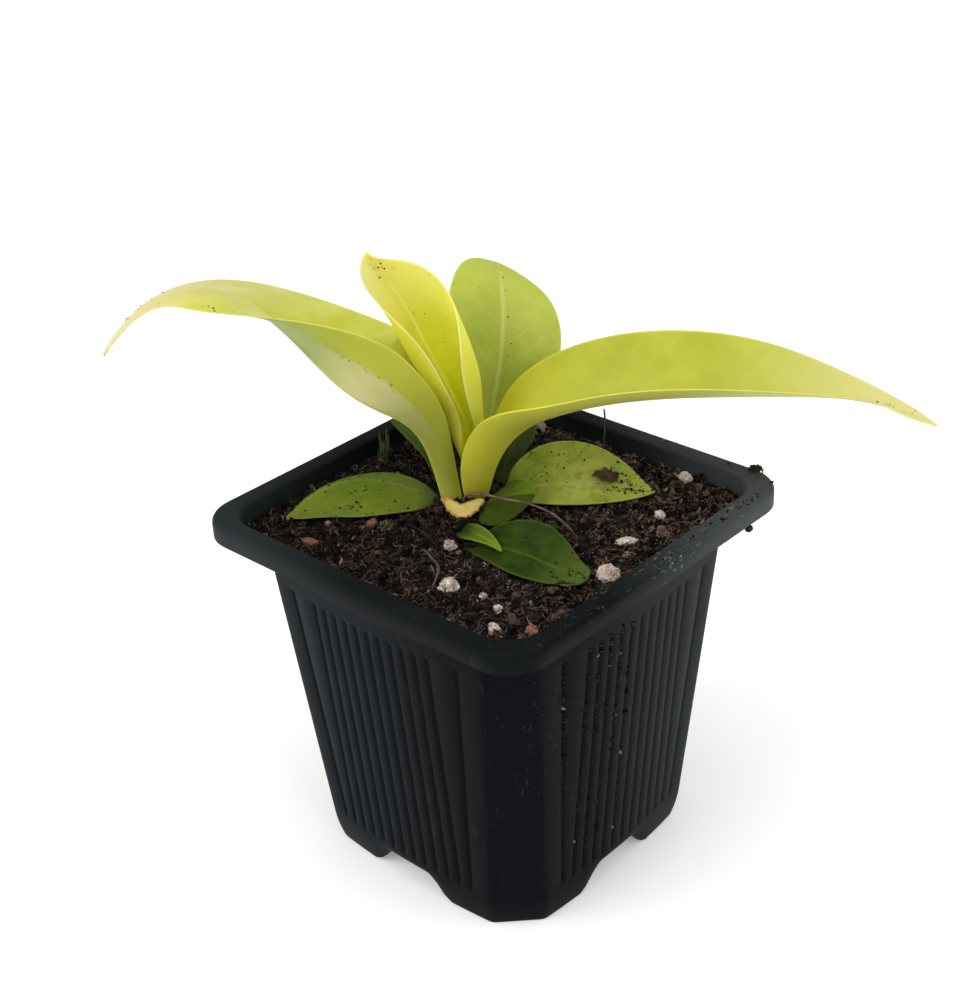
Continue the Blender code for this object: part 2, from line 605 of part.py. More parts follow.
def rib_share(leaf):
    """Thickness at each point of the leaf, as a share of the most there is."""
    rows, half_columns = leaf["mesh"]
    t = np.linspace(0.0, 1.0, rows)[:, None]
    t = np.concatenate([t[:1], t])
    across = np.abs(np.linspace(-1.0, 1.0, 2 * half_columns + 1))[None, :]
    begun = np.clip((t - RIB_START) / 0.1, 0.0, 1.0)
    rib = leaf["rib"] * begun * (1.0 - t) * np.maximum(1.0 - 3.0 * across, 0.0)
    return (BLADE + rib) / (BLADE + RIB_MOST)


def blade_object(name, leaf, grow=0.0):
    """Open mid surface made solid; grown, it is the cutter of the leaf's seat."""
    grid = leaf_grid(leaf, grow)
    bm = bmesh.new()
    rows, columns = grid.shape[:2]
    bmesh.ops.create_grid(bm, x_segments=columns - 1, y_segments=rows - 1, size=1.0)
    for vert, point in zip(bm.verts, grid.reshape(-1, 3)):
        vert.co = point
    bmesh.ops.triangulate(bm, faces=bm.faces, quad_method="FIXED")
    obj = mesh_object(bm, name, 60.0)
    thickness = obj.vertex_groups.new(name="thickness")
    for index, share in enumerate(rib_share(leaf).ravel()):
        thickness.add([index], share, "REPLACE")
    solid = obj.modifiers.new("blade", "SOLIDIFY")
    solid.thickness = (BLADE + RIB_MOST) * (1.0 + 2.0 * grow / BLADE) * MM
    solid.offset = 0.0
    solid.vertex_group = "thickness"
    solid.use_quality_normals = True
    return obj


def stalk_hole(name, leaf):
    """Plain hole for a standing stalk: the hull round its lowest part."""
    bm = bmesh.new()
    reach = 0.5 * BLADE + CLEAR
    grid = leaf_grid(leaf, CLEAR)
    for lower, upper in zip(grid[:4], grid[1:5]):
        for share in np.linspace(0.0, 1.0, 9):
            for x, y, z in lower + (upper - lower) * share:
                if z < SOIL_TOP + 1.2:
                    for dx, dy in ((reach, reach), (reach, -reach), (-reach, reach), (-reach, -reach)):
                        bm.verts.new((x + dx, y + dy, z))
    hull = bmesh.ops.convex_hull(bm, input=bm.verts)
    spare = set(hull["geom_interior"] + hull["geom_unused"])
    bmesh.ops.delete(bm, geom=[v for v in spare if isinstance(v, bmesh.types.BMVert)], context="VERTS")
    return mesh_object(bm, name)


def build_leaf(name, parts, cutters):
    leaf = LEAVES[name]
    place_object(blade_object(name, leaf), parts, leaf["slot"])
    if leaf["stands"]:
        seat = stalk_hole("seat_" + name, leaf)
    else:
        seat = blade_object("seat_" + name, leaf, CLEAR)
    return as_cutter(place_object(seat, cutters, leaf["slot"]))


def lump_object(name, size, grow=0.0):
    """Irregular grain: a coarse ball, pushed in and out by smooth noise."""
    bm = bmesh.new()
    bmesh.ops.create_icosphere(bm, subdivisions=1, radius=1.0)
    seed = sum(ord(letter) for letter in name)
    for vert in bm.verts:
        push = 1.0 + LUMP_NOISE * noise.noise(vert.co * 1.4 + Vector((7.3 * seed, 0.0, 0.0)))
        vert.co = Vector([0.5 * length * push * along for length, along in zip(size, vert.co)])
        vert.co += vert.co.normalized() * grow * LUMP_SPREAD
    return mesh_object(bm, name if not grow else "seat_" + name, 20.0)


def build_lump(name, parts, cutters):
    place, size, turn_deg, slot = LUMPS[name]
    place_object(lump_object(name, size), parts, slot, place, turn_deg)
    seat = place_object(lump_object(name, size, CLEAR), cutters, slot, place, turn_deg)
    return as_cutter(seat)


def strand_object(name, points, radii, grow=0.0):
    """Thin strand: a poly spline with a round bevel, turned into a mesh."""
    curve = bpy.data.curves.new(name, "CURVE")
    curve.dimensions = "3D"
    curve.bevel_depth = MM
    curve.bevel_resolution = 2
    curve.use_fill_caps = True
    path = smooth_path(np.array(points), STRAND_STEPS * (len(points) - 1))
    share = np.linspace(0.0, 1.0, len(path))
    radius = np.interp(share, np.linspace(0.0, 1.0, len(radii)), radii) + grow
    path[0] += unit(path[0] - path[1]) * grow
    path[-1] += unit(path[-1] - path[-2]) * grow
    spline = curve.splines.new("POLY")
    spline.points.add(len(path) - 1)
    for point, spot, r in zip(spline.points, path, radius):
        point.co = (*(spot * MM), 1.0)
        point.radius = r
    wire = bpy.data.objects.new(name + "_wire", curve)
    bpy.context.scene.collection.objects.link(wire)
    mesh = bpy.data.meshes.new_from_object(wire.evaluated_get(bpy.context.evaluated_depsgraph_get()))
    bpy.data.objects.remove(wire)
    bm = bmesh.new()
    bm.from_mesh(mesh)
    bmesh.ops.scale(bm, verts=bm.verts, vec=(1.0 / MM, 1.0 / MM, 1.0 / MM))
    bmesh.ops.remove_doubles(bm, verts=bm.verts, dist=0.01)
    return mesh_object(bm, name)


def smooth_path(points, steps):
    """Catmull-Rom curve through the points, evenly stepped."""
    padded = np.vstack([2 * points[0] - points[1], points, 2 * points[-1] - points[-2]])
    path = []
    for s in np.linspace(0.0, len(points) - 1.000001, steps + 1):
        k = int(s)
        u = s - k
        a, b, c, d = padded[k : k + 4]
        bend = (2 * a - 5 * b + 4 * c - d) * u**2 + (3 * b - a - 3 * c + d) * u**3
        path.append(0.5 * (2 * b + (c - a) * u + bend))
    return np.array(path)


def build_strand(name, parts, cutters):
    points, radii, slot = STRANDS[name]
    place_object(strand_object(name, points, radii), parts, slot)
    seat = strand_object("seat_" + name, points, radii, CLEAR)
    return as_cutter(place_object(seat, cutters, slot))


def tuft_object(name, tips, foot_radius, grow=0.0):
    """Small tuft: a stub whose upper edge is drawn up into pointed blades."""
    bm = bmesh.new()
    count = 2 * len(tips)
    bmesh.ops.create_cone(bm, cap_ends=True, cap_tris=True, segments=count,
                          radius1=foot_radius + TUFT_SPREAD * grow,
                          radius2=0.8 * foot_radius + TUFT_SPREAD * grow,
                          depth=TUFT_STUB + 2.0 * grow)
    bmesh.ops.translate(bm, verts=bm.verts, vec=(0.0, 0.0, 0.5 * TUFT_STUB))
    upper = [vert for vert in bm.verts if vert.co.z > 0.5 * TUFT_STUB and vert.co.xy.length > 0.1]
    upper.sort(key=lambda vert: math.atan2(vert.co.y, vert.co.x) % (2.0 * math.pi - 0.01))
    for vert, (x, y, z) in zip(upper[::2], tips):
        vert.co = Vector((x, y, z)) + vert.co.normalized() * grow
    return mesh_object(bm, name, 20.0)


def build_tuft(name, parts, cutters):
    place, tips, foot_radius, slot = TUFTS[name]
    place_object(tuft_object(name, tips, foot_radius), parts, slot, place)
    seat = tuft_object("seat_" + name, tips, foot_radius, CLEAR)
    return as_cutter(place_object(seat, cutters, slot, place))


def main():
    clear_scene()
    parts = collection("potted_moonlight_philodendron")
    cutters = collection("cutters")
    for slot, (colour, roughness) in MATERIALS.items():
        SLOTS[slot] = material(slot, colour, roughness)
    carrier(parts)
    build_pot(parts, cutters)
    seats = [build_leaf(name, parts, cutters) for name in LEAVES]
    seats += [build_lump(name, parts, cutters) for name in LUMPS]
    seats += [build_strand(name, parts, cutters) for name in STRANDS]
    seats += [build_tuft(name, parts, cutters) for name in TUFTS]
    cut(build_soil(parts), seats)


if __name__ == "__main__":
    main()
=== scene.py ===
"""Looks of a young moonlight philodendron in a square nursery pot.

Sizes are in millimetres from the middle of the pot's underside, and become
metres in the frame's own place when a piece is made.
"""

import math

import bmesh
import bpy
import numpy as np
from mathutils import Euler, Matrix, Vector, kdtree, noise


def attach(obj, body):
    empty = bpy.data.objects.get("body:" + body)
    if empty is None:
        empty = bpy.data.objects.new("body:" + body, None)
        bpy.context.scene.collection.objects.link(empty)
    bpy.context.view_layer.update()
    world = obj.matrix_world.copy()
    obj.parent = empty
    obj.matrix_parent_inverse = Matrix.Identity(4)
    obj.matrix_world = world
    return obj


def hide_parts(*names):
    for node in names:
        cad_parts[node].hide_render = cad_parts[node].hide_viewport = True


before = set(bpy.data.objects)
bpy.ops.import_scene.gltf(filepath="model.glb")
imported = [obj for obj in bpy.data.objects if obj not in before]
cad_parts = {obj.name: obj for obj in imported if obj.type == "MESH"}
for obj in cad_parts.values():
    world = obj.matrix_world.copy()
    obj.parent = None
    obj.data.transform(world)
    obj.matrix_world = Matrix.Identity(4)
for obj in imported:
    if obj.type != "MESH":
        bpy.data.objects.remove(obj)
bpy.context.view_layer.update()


# Pot. A thin square nursery pot, vacuum-formed from blue-black plastic: ribbed
# walls with cut-off corners, a foot cut into four by low arches, and a wide lip
# with a turned-down skirt.

MM = 0.001
POT_MIDDLE = np.array((4.07, -12.9, 0.0))

POT_HEIGHT = 84.2
RIM_HALF, RIM_CORNER, RIM_WALL, RIM_EDGE, RIM_SKIRT = 45.0, 9.0, 1.3, 1.3, 4.6
OPENING_HALF, OPENING_CORNER, OPENING_STEP = 40.9, 8.0, 0.6
FLARE_FOOT, FLARE_TOP = 75.8, 78.2
WALL = 1.2
FOOT_HALF, BODY_SPREAD = 31.9, 6.5
FOOT_CHAMFER, CHAMFER_LOSS = 8.6, 1.0
FOOT_BULGE, BULGE_GROWTH = 1.3, 1.3
EDGE_SOFTENING = 0.16
FLOOR_TOP, FLOOR_THICK = 7.2, 1.4
FOOT_INSET, FOOT_WALL, FOOT_ROUND = 1.0, 1.2, 8.0
ARCH_HEIGHT, ARCH_END, ARCH_SLOPE = 5.4, 0.52, 0.3
DRAIN_RADIUS, DRAIN_OFFSET = 4.0, 17.0

GROOVE_FOOT, GROOVE_TOP, GROOVE_FADE = 8.6, 71.5, 1.6
GROOVE_PITCH, GROOVE_HALF, GROOVE_DEPTH = 3.2, 0.75, 0.55
GROOVES_BESIDE = 5  # on either side of the middle one
LONE_FOOT, LONE_TOP = 19.0, 23.3
GROOVE_STEPS = (-1.0, -0.66, -0.33, 0.0, 0.33, 0.66, 1.0)
CORNER_POINTS = 11


def eased(x):
    """Smooth step from 0 to 1."""
    x = np.clip(x, 0.0, 1.0)
    return x * x * (3.0 - 2.0 * x)


def side_stations(z):
    """Where a ring's points lie along one side at a height, and how deep the grooves are there."""
    half, chamfer, _ = body_sizes(z, 0.0)
    rise = (np.clip(z, GROOVE_FOOT, GROOVE_TOP) - GROOVE_FOOT) / (GROOVE_TOP - GROOVE_FOOT)
    lone = LONE_FOOT + (LONE_TOP - LONE_FOOT) * rise
    middle = [k * GROOVE_PITCH for k in range(-GROOVES_BESIDE, GROOVES_BESIDE + 1)]
    centres = [-lone] + middle + [lone]
    along = [c + GROOVE_HALF * step for c in centres for step in GROOVE_STEPS]
    depth = [0.5 + 0.5 * math.cos(math.pi * step) for _ in centres for step in GROOVE_STEPS]
    flat = half - chamfer
    ends = (flat, flat - 0.9, flat - 1.9)
    along = [-e for e in ends] + along + [ends[2], ends[1], ends[0]]
    fade = eased((z - GROOVE_FOOT) / GROOVE_FADE) * eased((GROOVE_TOP - z) / GROOVE_FADE)
    depth = np.array([0.0] * 3 + depth + [0.0] * 3) * GROOVE_DEPTH * fade
    return np.array(along) / flat, depth


def body_sizes(z, inset):
    """Half width, chamfer and bulge of the body at a height."""
    rise = z / POT_HEIGHT
    half = FOOT_HALF + BODY_SPREAD * rise - inset
    chamfer = FOOT_CHAMFER - CHAMFER_LOSS * rise - (2.0 - math.sqrt(2.0)) * inset
    return half, chamfer, FOOT_BULGE + BULGE_GROWTH * rise


def around(along, out, height):
    """Four sides from one: points along a side, how far out they are, and their heights."""
    height = np.broadcast_to(height, along.shape)
    x, y = along, -out
    sides = []
    for _ in range(4):
        sides.append(np.stack([x, y, height], axis=1))
        x, y = -y, x
    return np.concatenate(sides)


def body_ring(z, inset=0.0, arch_level=None):
    """Ring round the ribbed body at a height. In the foot, arch_level takes it from the arched
    lower edge, 0, to a level ring at the top of the arches, 1."""
    s, depth = side_stations(z)
    half, chamfer, bulge = body_sizes(z, inset)
    flat = half - chamfer
    out = half + bulge * (1.0 - s * s) - depth
    out[[0, -1]] -= EDGE_SOFTENING  # where side and chamfer meet
    share = np.linspace(0.0, 1.0, CORNER_POINTS + 2)[1:-1]
    share[0], share[-1] = 0.09, 0.91  # close to the ends, so that the chamfer's edges stay crisp
    along = np.concatenate([s * flat, flat + chamfer * share])
    out = np.concatenate([out, half - chamfer * share])
    height = z
    if arch_level is not None:
        arch = ARCH_HEIGHT * eased((ARCH_END - np.abs(s)) / ARCH_SLOPE)
        arch = np.concatenate([arch, np.zeros(CORNER_POINTS)])
        height = arch + (FOOT_ROUND - arch) * arch_level
    return around(along, out, height)


def rim_ring(half, corner, z):
    """Ring of the lip: straight sides with rounded corners, and as many points as the body's."""
    s, _ = side_stations(FLARE_TOP)
    flat = half - corner
    angle = np.linspace(0.0, 0.5 * math.pi, CORNER_POINTS + 2)[1:-1]
    along = np.concatenate([s * flat, flat + corner * np.sin(angle)])
    out = np.concatenate([np.full(len(s), half), flat + corner * np.cos(angle)])
    return around(along, out, z)


def foot_edge(inset, lift):
    """The arched lower edge of the foot, drawn in and lifted."""
    ring = body_ring(0.0, inset, 0.0)
    ring[:, 2] += lift
    return ring


def tube(rings):
    """Quads between closed rings of the same number of points, with both ends filled."""
    count = len(rings[0])
    faces = []
    for r in range(len(rings) - 1):
        for k in range(count):
            m = (k + 1) % count
            faces.append((r * count + k, r * count + m, (r + 1) * count + m, (r + 1) * count + k))
    faces.append(tuple(range(count)))
    faces.append(tuple(range((len(rings) - 1) * count, len(rings) * count)))
    return np.concatenate(rings), faces


def new_piece(name, points, faces, finish, sharp_deg=40.0, layers=()):
    """Mesh piece, with a number at each point for every named layer."""
    mesh = bpy.data.meshes.new(name)
    mesh.from_pydata(((np.asarray(points) + POT_MIDDLE) * MM).tolist(), [], faces)
    bm = bmesh.new()
    bm.from_mesh(mesh)
    bmesh.ops.recalc_face_normals(bm, faces=bm.faces)
    bm.to_mesh(mesh)
    bm.free()
    for layer, values in dict(layers).items():
        store = mesh.attributes.new(layer, "FLOAT", "POINT")
        store.data.foreach_set("value", np.asarray(values, dtype=np.float32).ravel())
    mesh.shade_smooth()
    mesh.set_sharp_from_angle(angle=math.radians(sharp_deg))
    mesh.materials.append(finish.material)
    piece = bpy.data.objects.new(name, mesh)
    bpy.context.scene.collection.objects.link(piece)
    return piece


class Wire:
    """A socket of a finish that can stand in a sum: each operator adds its Math node."""

    def __init__(self, finish, socket):
        self.finish = finish
        self.socket = socket

    def math(self, operation, *others):
        values = dict(enumerate((self, *others)))
        return self.finish.node("ShaderNodeMath", {"operation": operation}, values)

    def __add__(self, other):
        return self.math("ADD", other)

    def __sub__(self, other):
        return self.math("SUBTRACT", other)

    def __rsub__(self, other):
        return self.math("MULTIPLY_ADD", -1.0, other)

    def __mul__(self, other):
        return self.math("MULTIPLY", other)

    def __truediv__(self, other):
        return self.math("DIVIDE", other)

    __radd__ = __add__
    __rmul__ = __mul__

    def step(self, low, high, start=0.0, end=1.0):
        """Eased change from start to end while the value goes from low to high."""
        values = {"Value": self, "From Min": low, "From Max": high, "To Min": start, "To Max": end}
        return self.finish.node("ShaderNodeMapRange", {"interpolation_type": "SMOOTHSTEP"}, values)


class Finish:
    """A material made of nodes round one Principled shader."""

    MIX_SHARE, MIX_UNDER, MIX_OVER, MIX_COLOUR = 0, 6, 7, 2  # sockets of a Mix node set to colour

    def __init__(self, name):
        self.material = bpy.data.materials.new(name)
        self.material.use_nodes = True
        self.tree = self.material.node_tree
        self.shader = self.tree.nodes["Principled BSDF"]
        self.place = self.node("ShaderNodeTexCoord", output="Object")

    def node(self, kind, settings=(), sockets=(), output=0):
        """A node of a kind: its settings first, then its sockets' values or links."""
        made = self.tree.nodes.new(kind)
        for key, value in dict(settings).items():
            setattr(made, key, value)
        self.fill(made, sockets)
        return Wire(self, made.outputs[output])

    def fill(self, made, sockets):
        for key, value in dict(sockets).items():
            if isinstance(value, Wire):
                self.tree.links.new(value.socket, made.inputs[key])
            elif isinstance(value, tuple) and made.inputs[key].type == "RGBA":
                made.inputs[key].default_value = (*value, 1.0)
            else:
                made.inputs[key].default_value = value

    def shade(self, **sockets):
        """Sockets of the shader, with _ for a space in their names."""
        self.fill(self.shader, {key.replace("_", " "): value for key, value in sockets.items()})

    def mix(self, share, under, over):
        """Colour under, covered by colour over as far as share says."""
        settings = {"data_type": "RGBA", "clamp_factor": True}
        values = {self.MIX_SHARE: share, self.MIX_UNDER: under, self.MIX_OVER: over}
        return self.node("ShaderNodeMix", settings, values, output=self.MIX_COLOUR)

    def layer(self, name):
        return self.node("ShaderNodeAttribute", {"attribute_name": name}, output="Fac")

    def mottle(self, width, detail=3.0, stretch=None):
        """Cloudy noise, 0 to 1, whose patches are about width millimetres across."""
        place = self.place
        if stretch:
            place = self.node("ShaderNodeVectorMath", {"operation": "MULTIPLY"}, {0: place, 1: stretch})
        values = {"Vector": place, "Scale": 1.0 / (width * MM), "Detail": detail, "Roughness": 0.6}
        return self.node("ShaderNodeTexNoise", {}, values)

    def along(self, axis):
        """Millimetres along an axis, from the middle of the pot's underside."""
        split = self.node("ShaderNodeSeparateXYZ", {}, {0: self.place}, output=axis)
        return split / MM - POT_MIDDLE["XYZ".index(axis)]

    def bump(self, height, depth):
        """Relief in which a height of 1 stands depth millimetres proud."""
        values = {"Height": height, "Strength": 1.0, "Distance": depth * MM}
        return self.node("ShaderNodeBump", {}, values)


black_plastic = Finish("black_plastic")
height = black_plastic.along("Z")
across = black_plastic.along("X")
inward = black_plastic.along("Y")
grain = black_plastic.mottle(0.45, 2.0)
sheen = black_plastic.mottle(22.0, 4.0)
scuffs = black_plastic.mottle(1.6, 6.0, (1.0, 1.0, 0.25)).step(0.6, 0.72)
smears = black_plastic.mottle(1.1, 5.0).step(0.57, 0.68) * black_plastic.mottle(9.0, 2.0).step(0.46, 0.6)
scratches = black_plastic.mottle(0.5, 2.0, (1.0, 0.2, 1.0)).step(0.64, 0.7)
lime = (smears + scratches * 0.4) * height.step(78.0, 83.5)
lime = lime * across.step(32.0, 42.0) * inward.step(-38.0, 5.0)
dust = black_plastic.mottle(0.8, 4.0).step(0.6, 0.7) * height.step(77.0, 60.0) * across.step(30.0, 37.0)
corner = across.math("ABSOLUTE") + inward.math("ABSOLUTE") - height * 0.166
# Painted light: across the view the wall turns lighter towards the left and much lighter towards the
# right, where the light falls.
lit_side = across * 0.73 + inward * 0.69
wall = black_plastic.mix(sheen.step(0.3, 0.7), (0.001, 0.0018, 0.0026), (0.002, 0.003, 0.004))
wall = black_plastic.mix(lit_side.step(-8.0, -32.0), wall, (0.0055, 0.0078, 0.01))
wall = black_plastic.mix(lit_side.step(14.0, 42.0), wall, (0.016, 0.019, 0.021))
# Painted shade: the cut-off corners are painted darker and bluer than the flat sides.
wall = black_plastic.mix(corner.step(54.3, 55.0), wall, (0.0006, 0.001, 0.0032))
lip = black_plastic.mix(sheen.step(0.35, 0.65), (0.0022, 0.0034, 0.004), (0.004, 0.0056, 0.0063))
# Painted light on the lip too: lighter towards the left, much lighter towards the right.
lip = black_plastic.mix(lit_side.step(-25.0, -58.0), lip, (0.019, 0.0235, 0.0255))
lip = black_plastic.mix(lit_side.step(18.0, 62.0), lip, (0.062, 0.069, 0.073))
plastic = black_plastic.mix(height.step(76.5, 80.0), wall, lip)
plastic = black_plastic.mix(scuffs * 0.3, plastic, (0.03, 0.034, 0.036))
plastic = black_plastic.mix(dust * 0.5, plastic, (0.05, 0.042, 0.034))
plastic = black_plastic.mix(lime * 0.7, plastic, (0.28, 0.29, 0.28))
black_plastic.shade(
    Base_Color=plastic,
    Roughness=0.42 + 0.14 * sheen + 0.2 * lime + 0.1 * grain,
    Normal=black_plastic.bump(grain * 0.6 + scuffs * 0.5 + lime, 0.03),
    Specular_IOR_Level=0.045,
)

under = FLOOR_TOP - FLOOR_THICK
opening = OPENING_HALF - OPENING_STEP
lip_under = POT_HEIGHT - RIM_WALL
skirt_foot = POT_HEIGHT - RIM_SKIRT
skirt_corner = RIM_CORNER - RIM_WALL
rings = [
    body_ring(under, WALL + 0.5),
    foot_edge(FOOT_INSET + FOOT_WALL, 0.3),
    foot_edge(FOOT_INSET + FOOT_WALL - 0.2, 0.0),
    foot_edge(FOOT_INSET + 0.3, 0.0),
    foot_edge(FOOT_INSET + 0.05, 0.12),
]
for level in (0.06, 0.18, 0.3, 0.45, 0.6, 0.8, 1.0):
    ring = body_ring(FOOT_ROUND * level, FOOT_INSET * (1.0 - level) ** 2, level)
    rings.append(ring)
fades = [GROOVE_FADE * share for share in (0.0, 0.25, 0.5, 0.75, 1.0)]
band = [GROOVE_FOOT + fade for fade in fades]
band += list(np.linspace(GROOVE_FOOT + GROOVE_FADE, GROOVE_TOP - GROOVE_FADE, 12)[1:-1])
band += [GROOVE_TOP - fade for fade in fades[::-1]]
rings += [body_ring(z) for z in band + [73.5, FLARE_FOOT]]
rings += [
    rim_ring(OPENING_HALF + 0.7, RIM_CORNER, FLARE_TOP - 0.6),
    rim_ring(OPENING_HALF + WALL, RIM_CORNER, FLARE_TOP),
    rim_ring(OPENING_HALF + WALL, RIM_CORNER, lip_under - 0.4),
    rim_ring(OPENING_HALF + WALL + 0.4, RIM_CORNER, lip_under),
    rim_ring(RIM_HALF - RIM_WALL - 0.4, skirt_corner, lip_under),
    rim_ring(RIM_HALF - RIM_WALL, skirt_corner, lip_under - 0.4),
    rim_ring(RIM_HALF - RIM_WALL, skirt_corner, skirt_foot + 0.2),
    rim_ring(RIM_HALF - RIM_WALL + 0.2, skirt_corner, skirt_foot),
    rim_ring(RIM_HALF - 0.25, RIM_CORNER, skirt_foot),
    rim_ring(RIM_HALF, RIM_CORNER, skirt_foot + 0.25),
]
for angle in np.linspace(0.0, 0.5 * math.pi, 7):
    rounded = RIM_EDGE * (1.0 - math.cos(angle))
    rings.append(rim_ring(RIM_HALF - rounded, RIM_CORNER - rounded,
                          POT_HEIGHT - RIM_EDGE * (1.0 - math.sin(angle))))
for angle in np.linspace(0.0, 0.5 * math.pi, 5):
    rings.append(rim_ring(OPENING_HALF + 0.3 - (OPENING_STEP + 0.3) * math.sin(angle), OPENING_CORNER,
                          POT_HEIGHT - 0.8 * (1.0 - math.cos(angle))))
rings += [
    rim_ring(opening, OPENING_CORNER, FLARE_TOP + OPENING_STEP),
    body_ring(FLARE_FOOT + 1.0, WALL),
    body_ring(FLOOR_TOP, WALL),
]
pot = new_piece("nursery_pot", *tube(rings), black_plastic, 50.0)

drains = [(0.0, 0.0)] + [(sx * DRAIN_OFFSET, sy * DRAIN_OFFSET) for sx in (-1, 1) for sy in (-1, 1)]
for x, y in drains:
    bm = bmesh.new()
    middle = (Vector((x, y, FLOOR_TOP - 0.5 * FLOOR_THICK)) + Vector(POT_MIDDLE)) * MM
    bmesh.ops.create_cone(bm, cap_ends=True, segments=32, radius1=DRAIN_RADIUS * MM,
                          radius2=DRAIN_RADIUS * MM, depth=4.0 * FLOOR_THICK * MM,
                          matrix=Matrix.Translation(middle))
    punch_mesh = bpy.data.meshes.new("punch")
    bm.to_mesh(punch_mesh)
    bm.free()
    punch = bpy.data.objects.new("punch", punch_mesh)
    bpy.context.scene.collection.objects.link(punch)
    hole = pot.modifiers.new("drain", "BOOLEAN")
    hole.object = punch
    bpy.context.view_layer.update()
    punched = bpy.data.meshes.new_from_object(pot.evaluated_get(bpy.context.evaluated_depsgraph_get()))
    pot.modifiers.remove(hole)
    pot.data = punched
    bpy.data.objects.remove(punch)
pot.data.set_sharp_from_angle(angle=math.radians(50.0))
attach(pot, "root")
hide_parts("pot")


# Soil. Peaty potting mix that fills the pot to 4 mm under its lip: matted clods
# below, and loose crumbs, fines and short fibres lying over them.

SOIL_TOP, SOIL_EDGE_Z = 80.0, 79.5
SOIL_EDGE = opening - 0.3
SOIL_ROWS = 84
GAP_WIDTH, GAP_DEPTH = 2.2, 0.8


def hollow(x, y):
    """How far a spot lies in one of the gaps between clods, 0 to 1; the soil bed is painted darker
    there, as shade.
    """
    return eased((-noise.noise(Vector((x, y, 77.0)) / GAP_WIDTH) - 0.03) / 0.2)


def soil_height(x, y):
    """Uneven top of the soil: the source's two sizes of unevenness, with clods and gaps over them."""
    big = noise.noise(Vector((x, y, 0.0)) / 7.0) + 0.8 * noise.noise(Vector((x, y, 40.0)) / 2.6)
    clods = noise.noise(Vector((x, y, 9.0)) / 1.5) + 0.6 * abs(noise.noise(Vector((x, y, 3.0)) / 0.8))
    return SOIL_TOP + 0.55 * big + 0.45 * clods - GAP_DEPTH * hollow(x, y)


def soil_finish(name, dark, brown, rust, dry):
    """Damp peat: near-black where its tone is low, brown crumbs, and reddish shreds of bark. In the soil
    bed the tone drops in the gaps between clods, which paints shade there.
    """
    peat = Finish(name)
    tone = peat.layer("tone")
    clods = peat.mottle(2.2, 5.0)
    grit = peat.mottle(0.35, 4.0)
    shreds = peat.mottle(1.3, 3.0, (1.0, 1.0, 2.0)).step(0.56, 0.64)
    colour = peat.mix((clods * 0.6 + tone * 0.5).step(0.25, 0.8), dark, brown)
    colour = peat.mix(shreds * tone.step(0.35, 0.8), colour, rust)
    # Crust and fibres show more towards the back right.
    towards_back_right = (peat.along("X") + 0.8 * peat.along("Y")).step(-10.0, 40.0)
    crust = (clods * 0.6 + tone * 0.5).step(0.42, 0.75)
    colour = peat.mix((0.12 + 0.88 * towards_back_right) * crust * 0.85, colour, dry)
    fibres = peat.mottle(0.4, 3.0, (1.0, 0.22, 1.0)).step(0.6, 0.68)
    colour = peat.mix(fibres * (0.25 + 0.5 * towards_back_right), colour, (0.17, 0.115, 0.08))
    colour = peat.mix(grit.step(0.64, 0.74) * 0.35, colour, (0.15, 0.11, 0.08))
    colour = peat.mix(tone.step(0.955, 0.97) * 0.7, colour, (0.26, 0.2, 0.15))
    peat.shade(Base_Color=colour, Roughness=0.95 - 0.3 * grit.step(0.5, 0.75),
               Normal=peat.bump(clods + grit * 0.5, 0.25), Specular_IOR_Level=0.12)
    return peat


peat = soil_finish("peat_soil", (0.0012, 0.001, 0.0008), (0.006, 0.0042, 0.0034), (0.04, 0.02, 0.013),
                   (0.03, 0.019, 0.014))
rings = [
    body_ring(FLOOR_TOP + 0.3, WALL + 0.35),
    body_ring(FLARE_FOOT + 1.45, WALL + 0.35),
    rim_ring(SOIL_EDGE, OPENING_CORNER, SOIL_EDGE_Z),
]
outline = rim_ring(SOIL_EDGE - 0.4, OPENING_CORNER, 0.0)
for row in range(SOIL_ROWS):
    ring = outline * (1.0 - row / SOIL_ROWS)
    ring[:, 2] = [soil_height(x, y) for x, y in ring[:, :2]]
    rings.append(ring)
points, faces = tube(rings)
# Tone wanders at random, and drops in the gaps between clods: painted shade.
tones = [0.5 + 0.5 * noise.noise(Vector(point) / 5.0) - 0.6 * hollow(*point[:2]) for point in points]
soil = new_piece("soil_bed", points, faces, peat, 60.0, {"tone": tones})
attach(soil, "root")
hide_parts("soil")


# Leaves. Each blade rises from its own channelled stalk and is thickest along
# the midrib. The four large ones are fresh yellow-green, and the low ones are
# older, darker and dusted with soil.

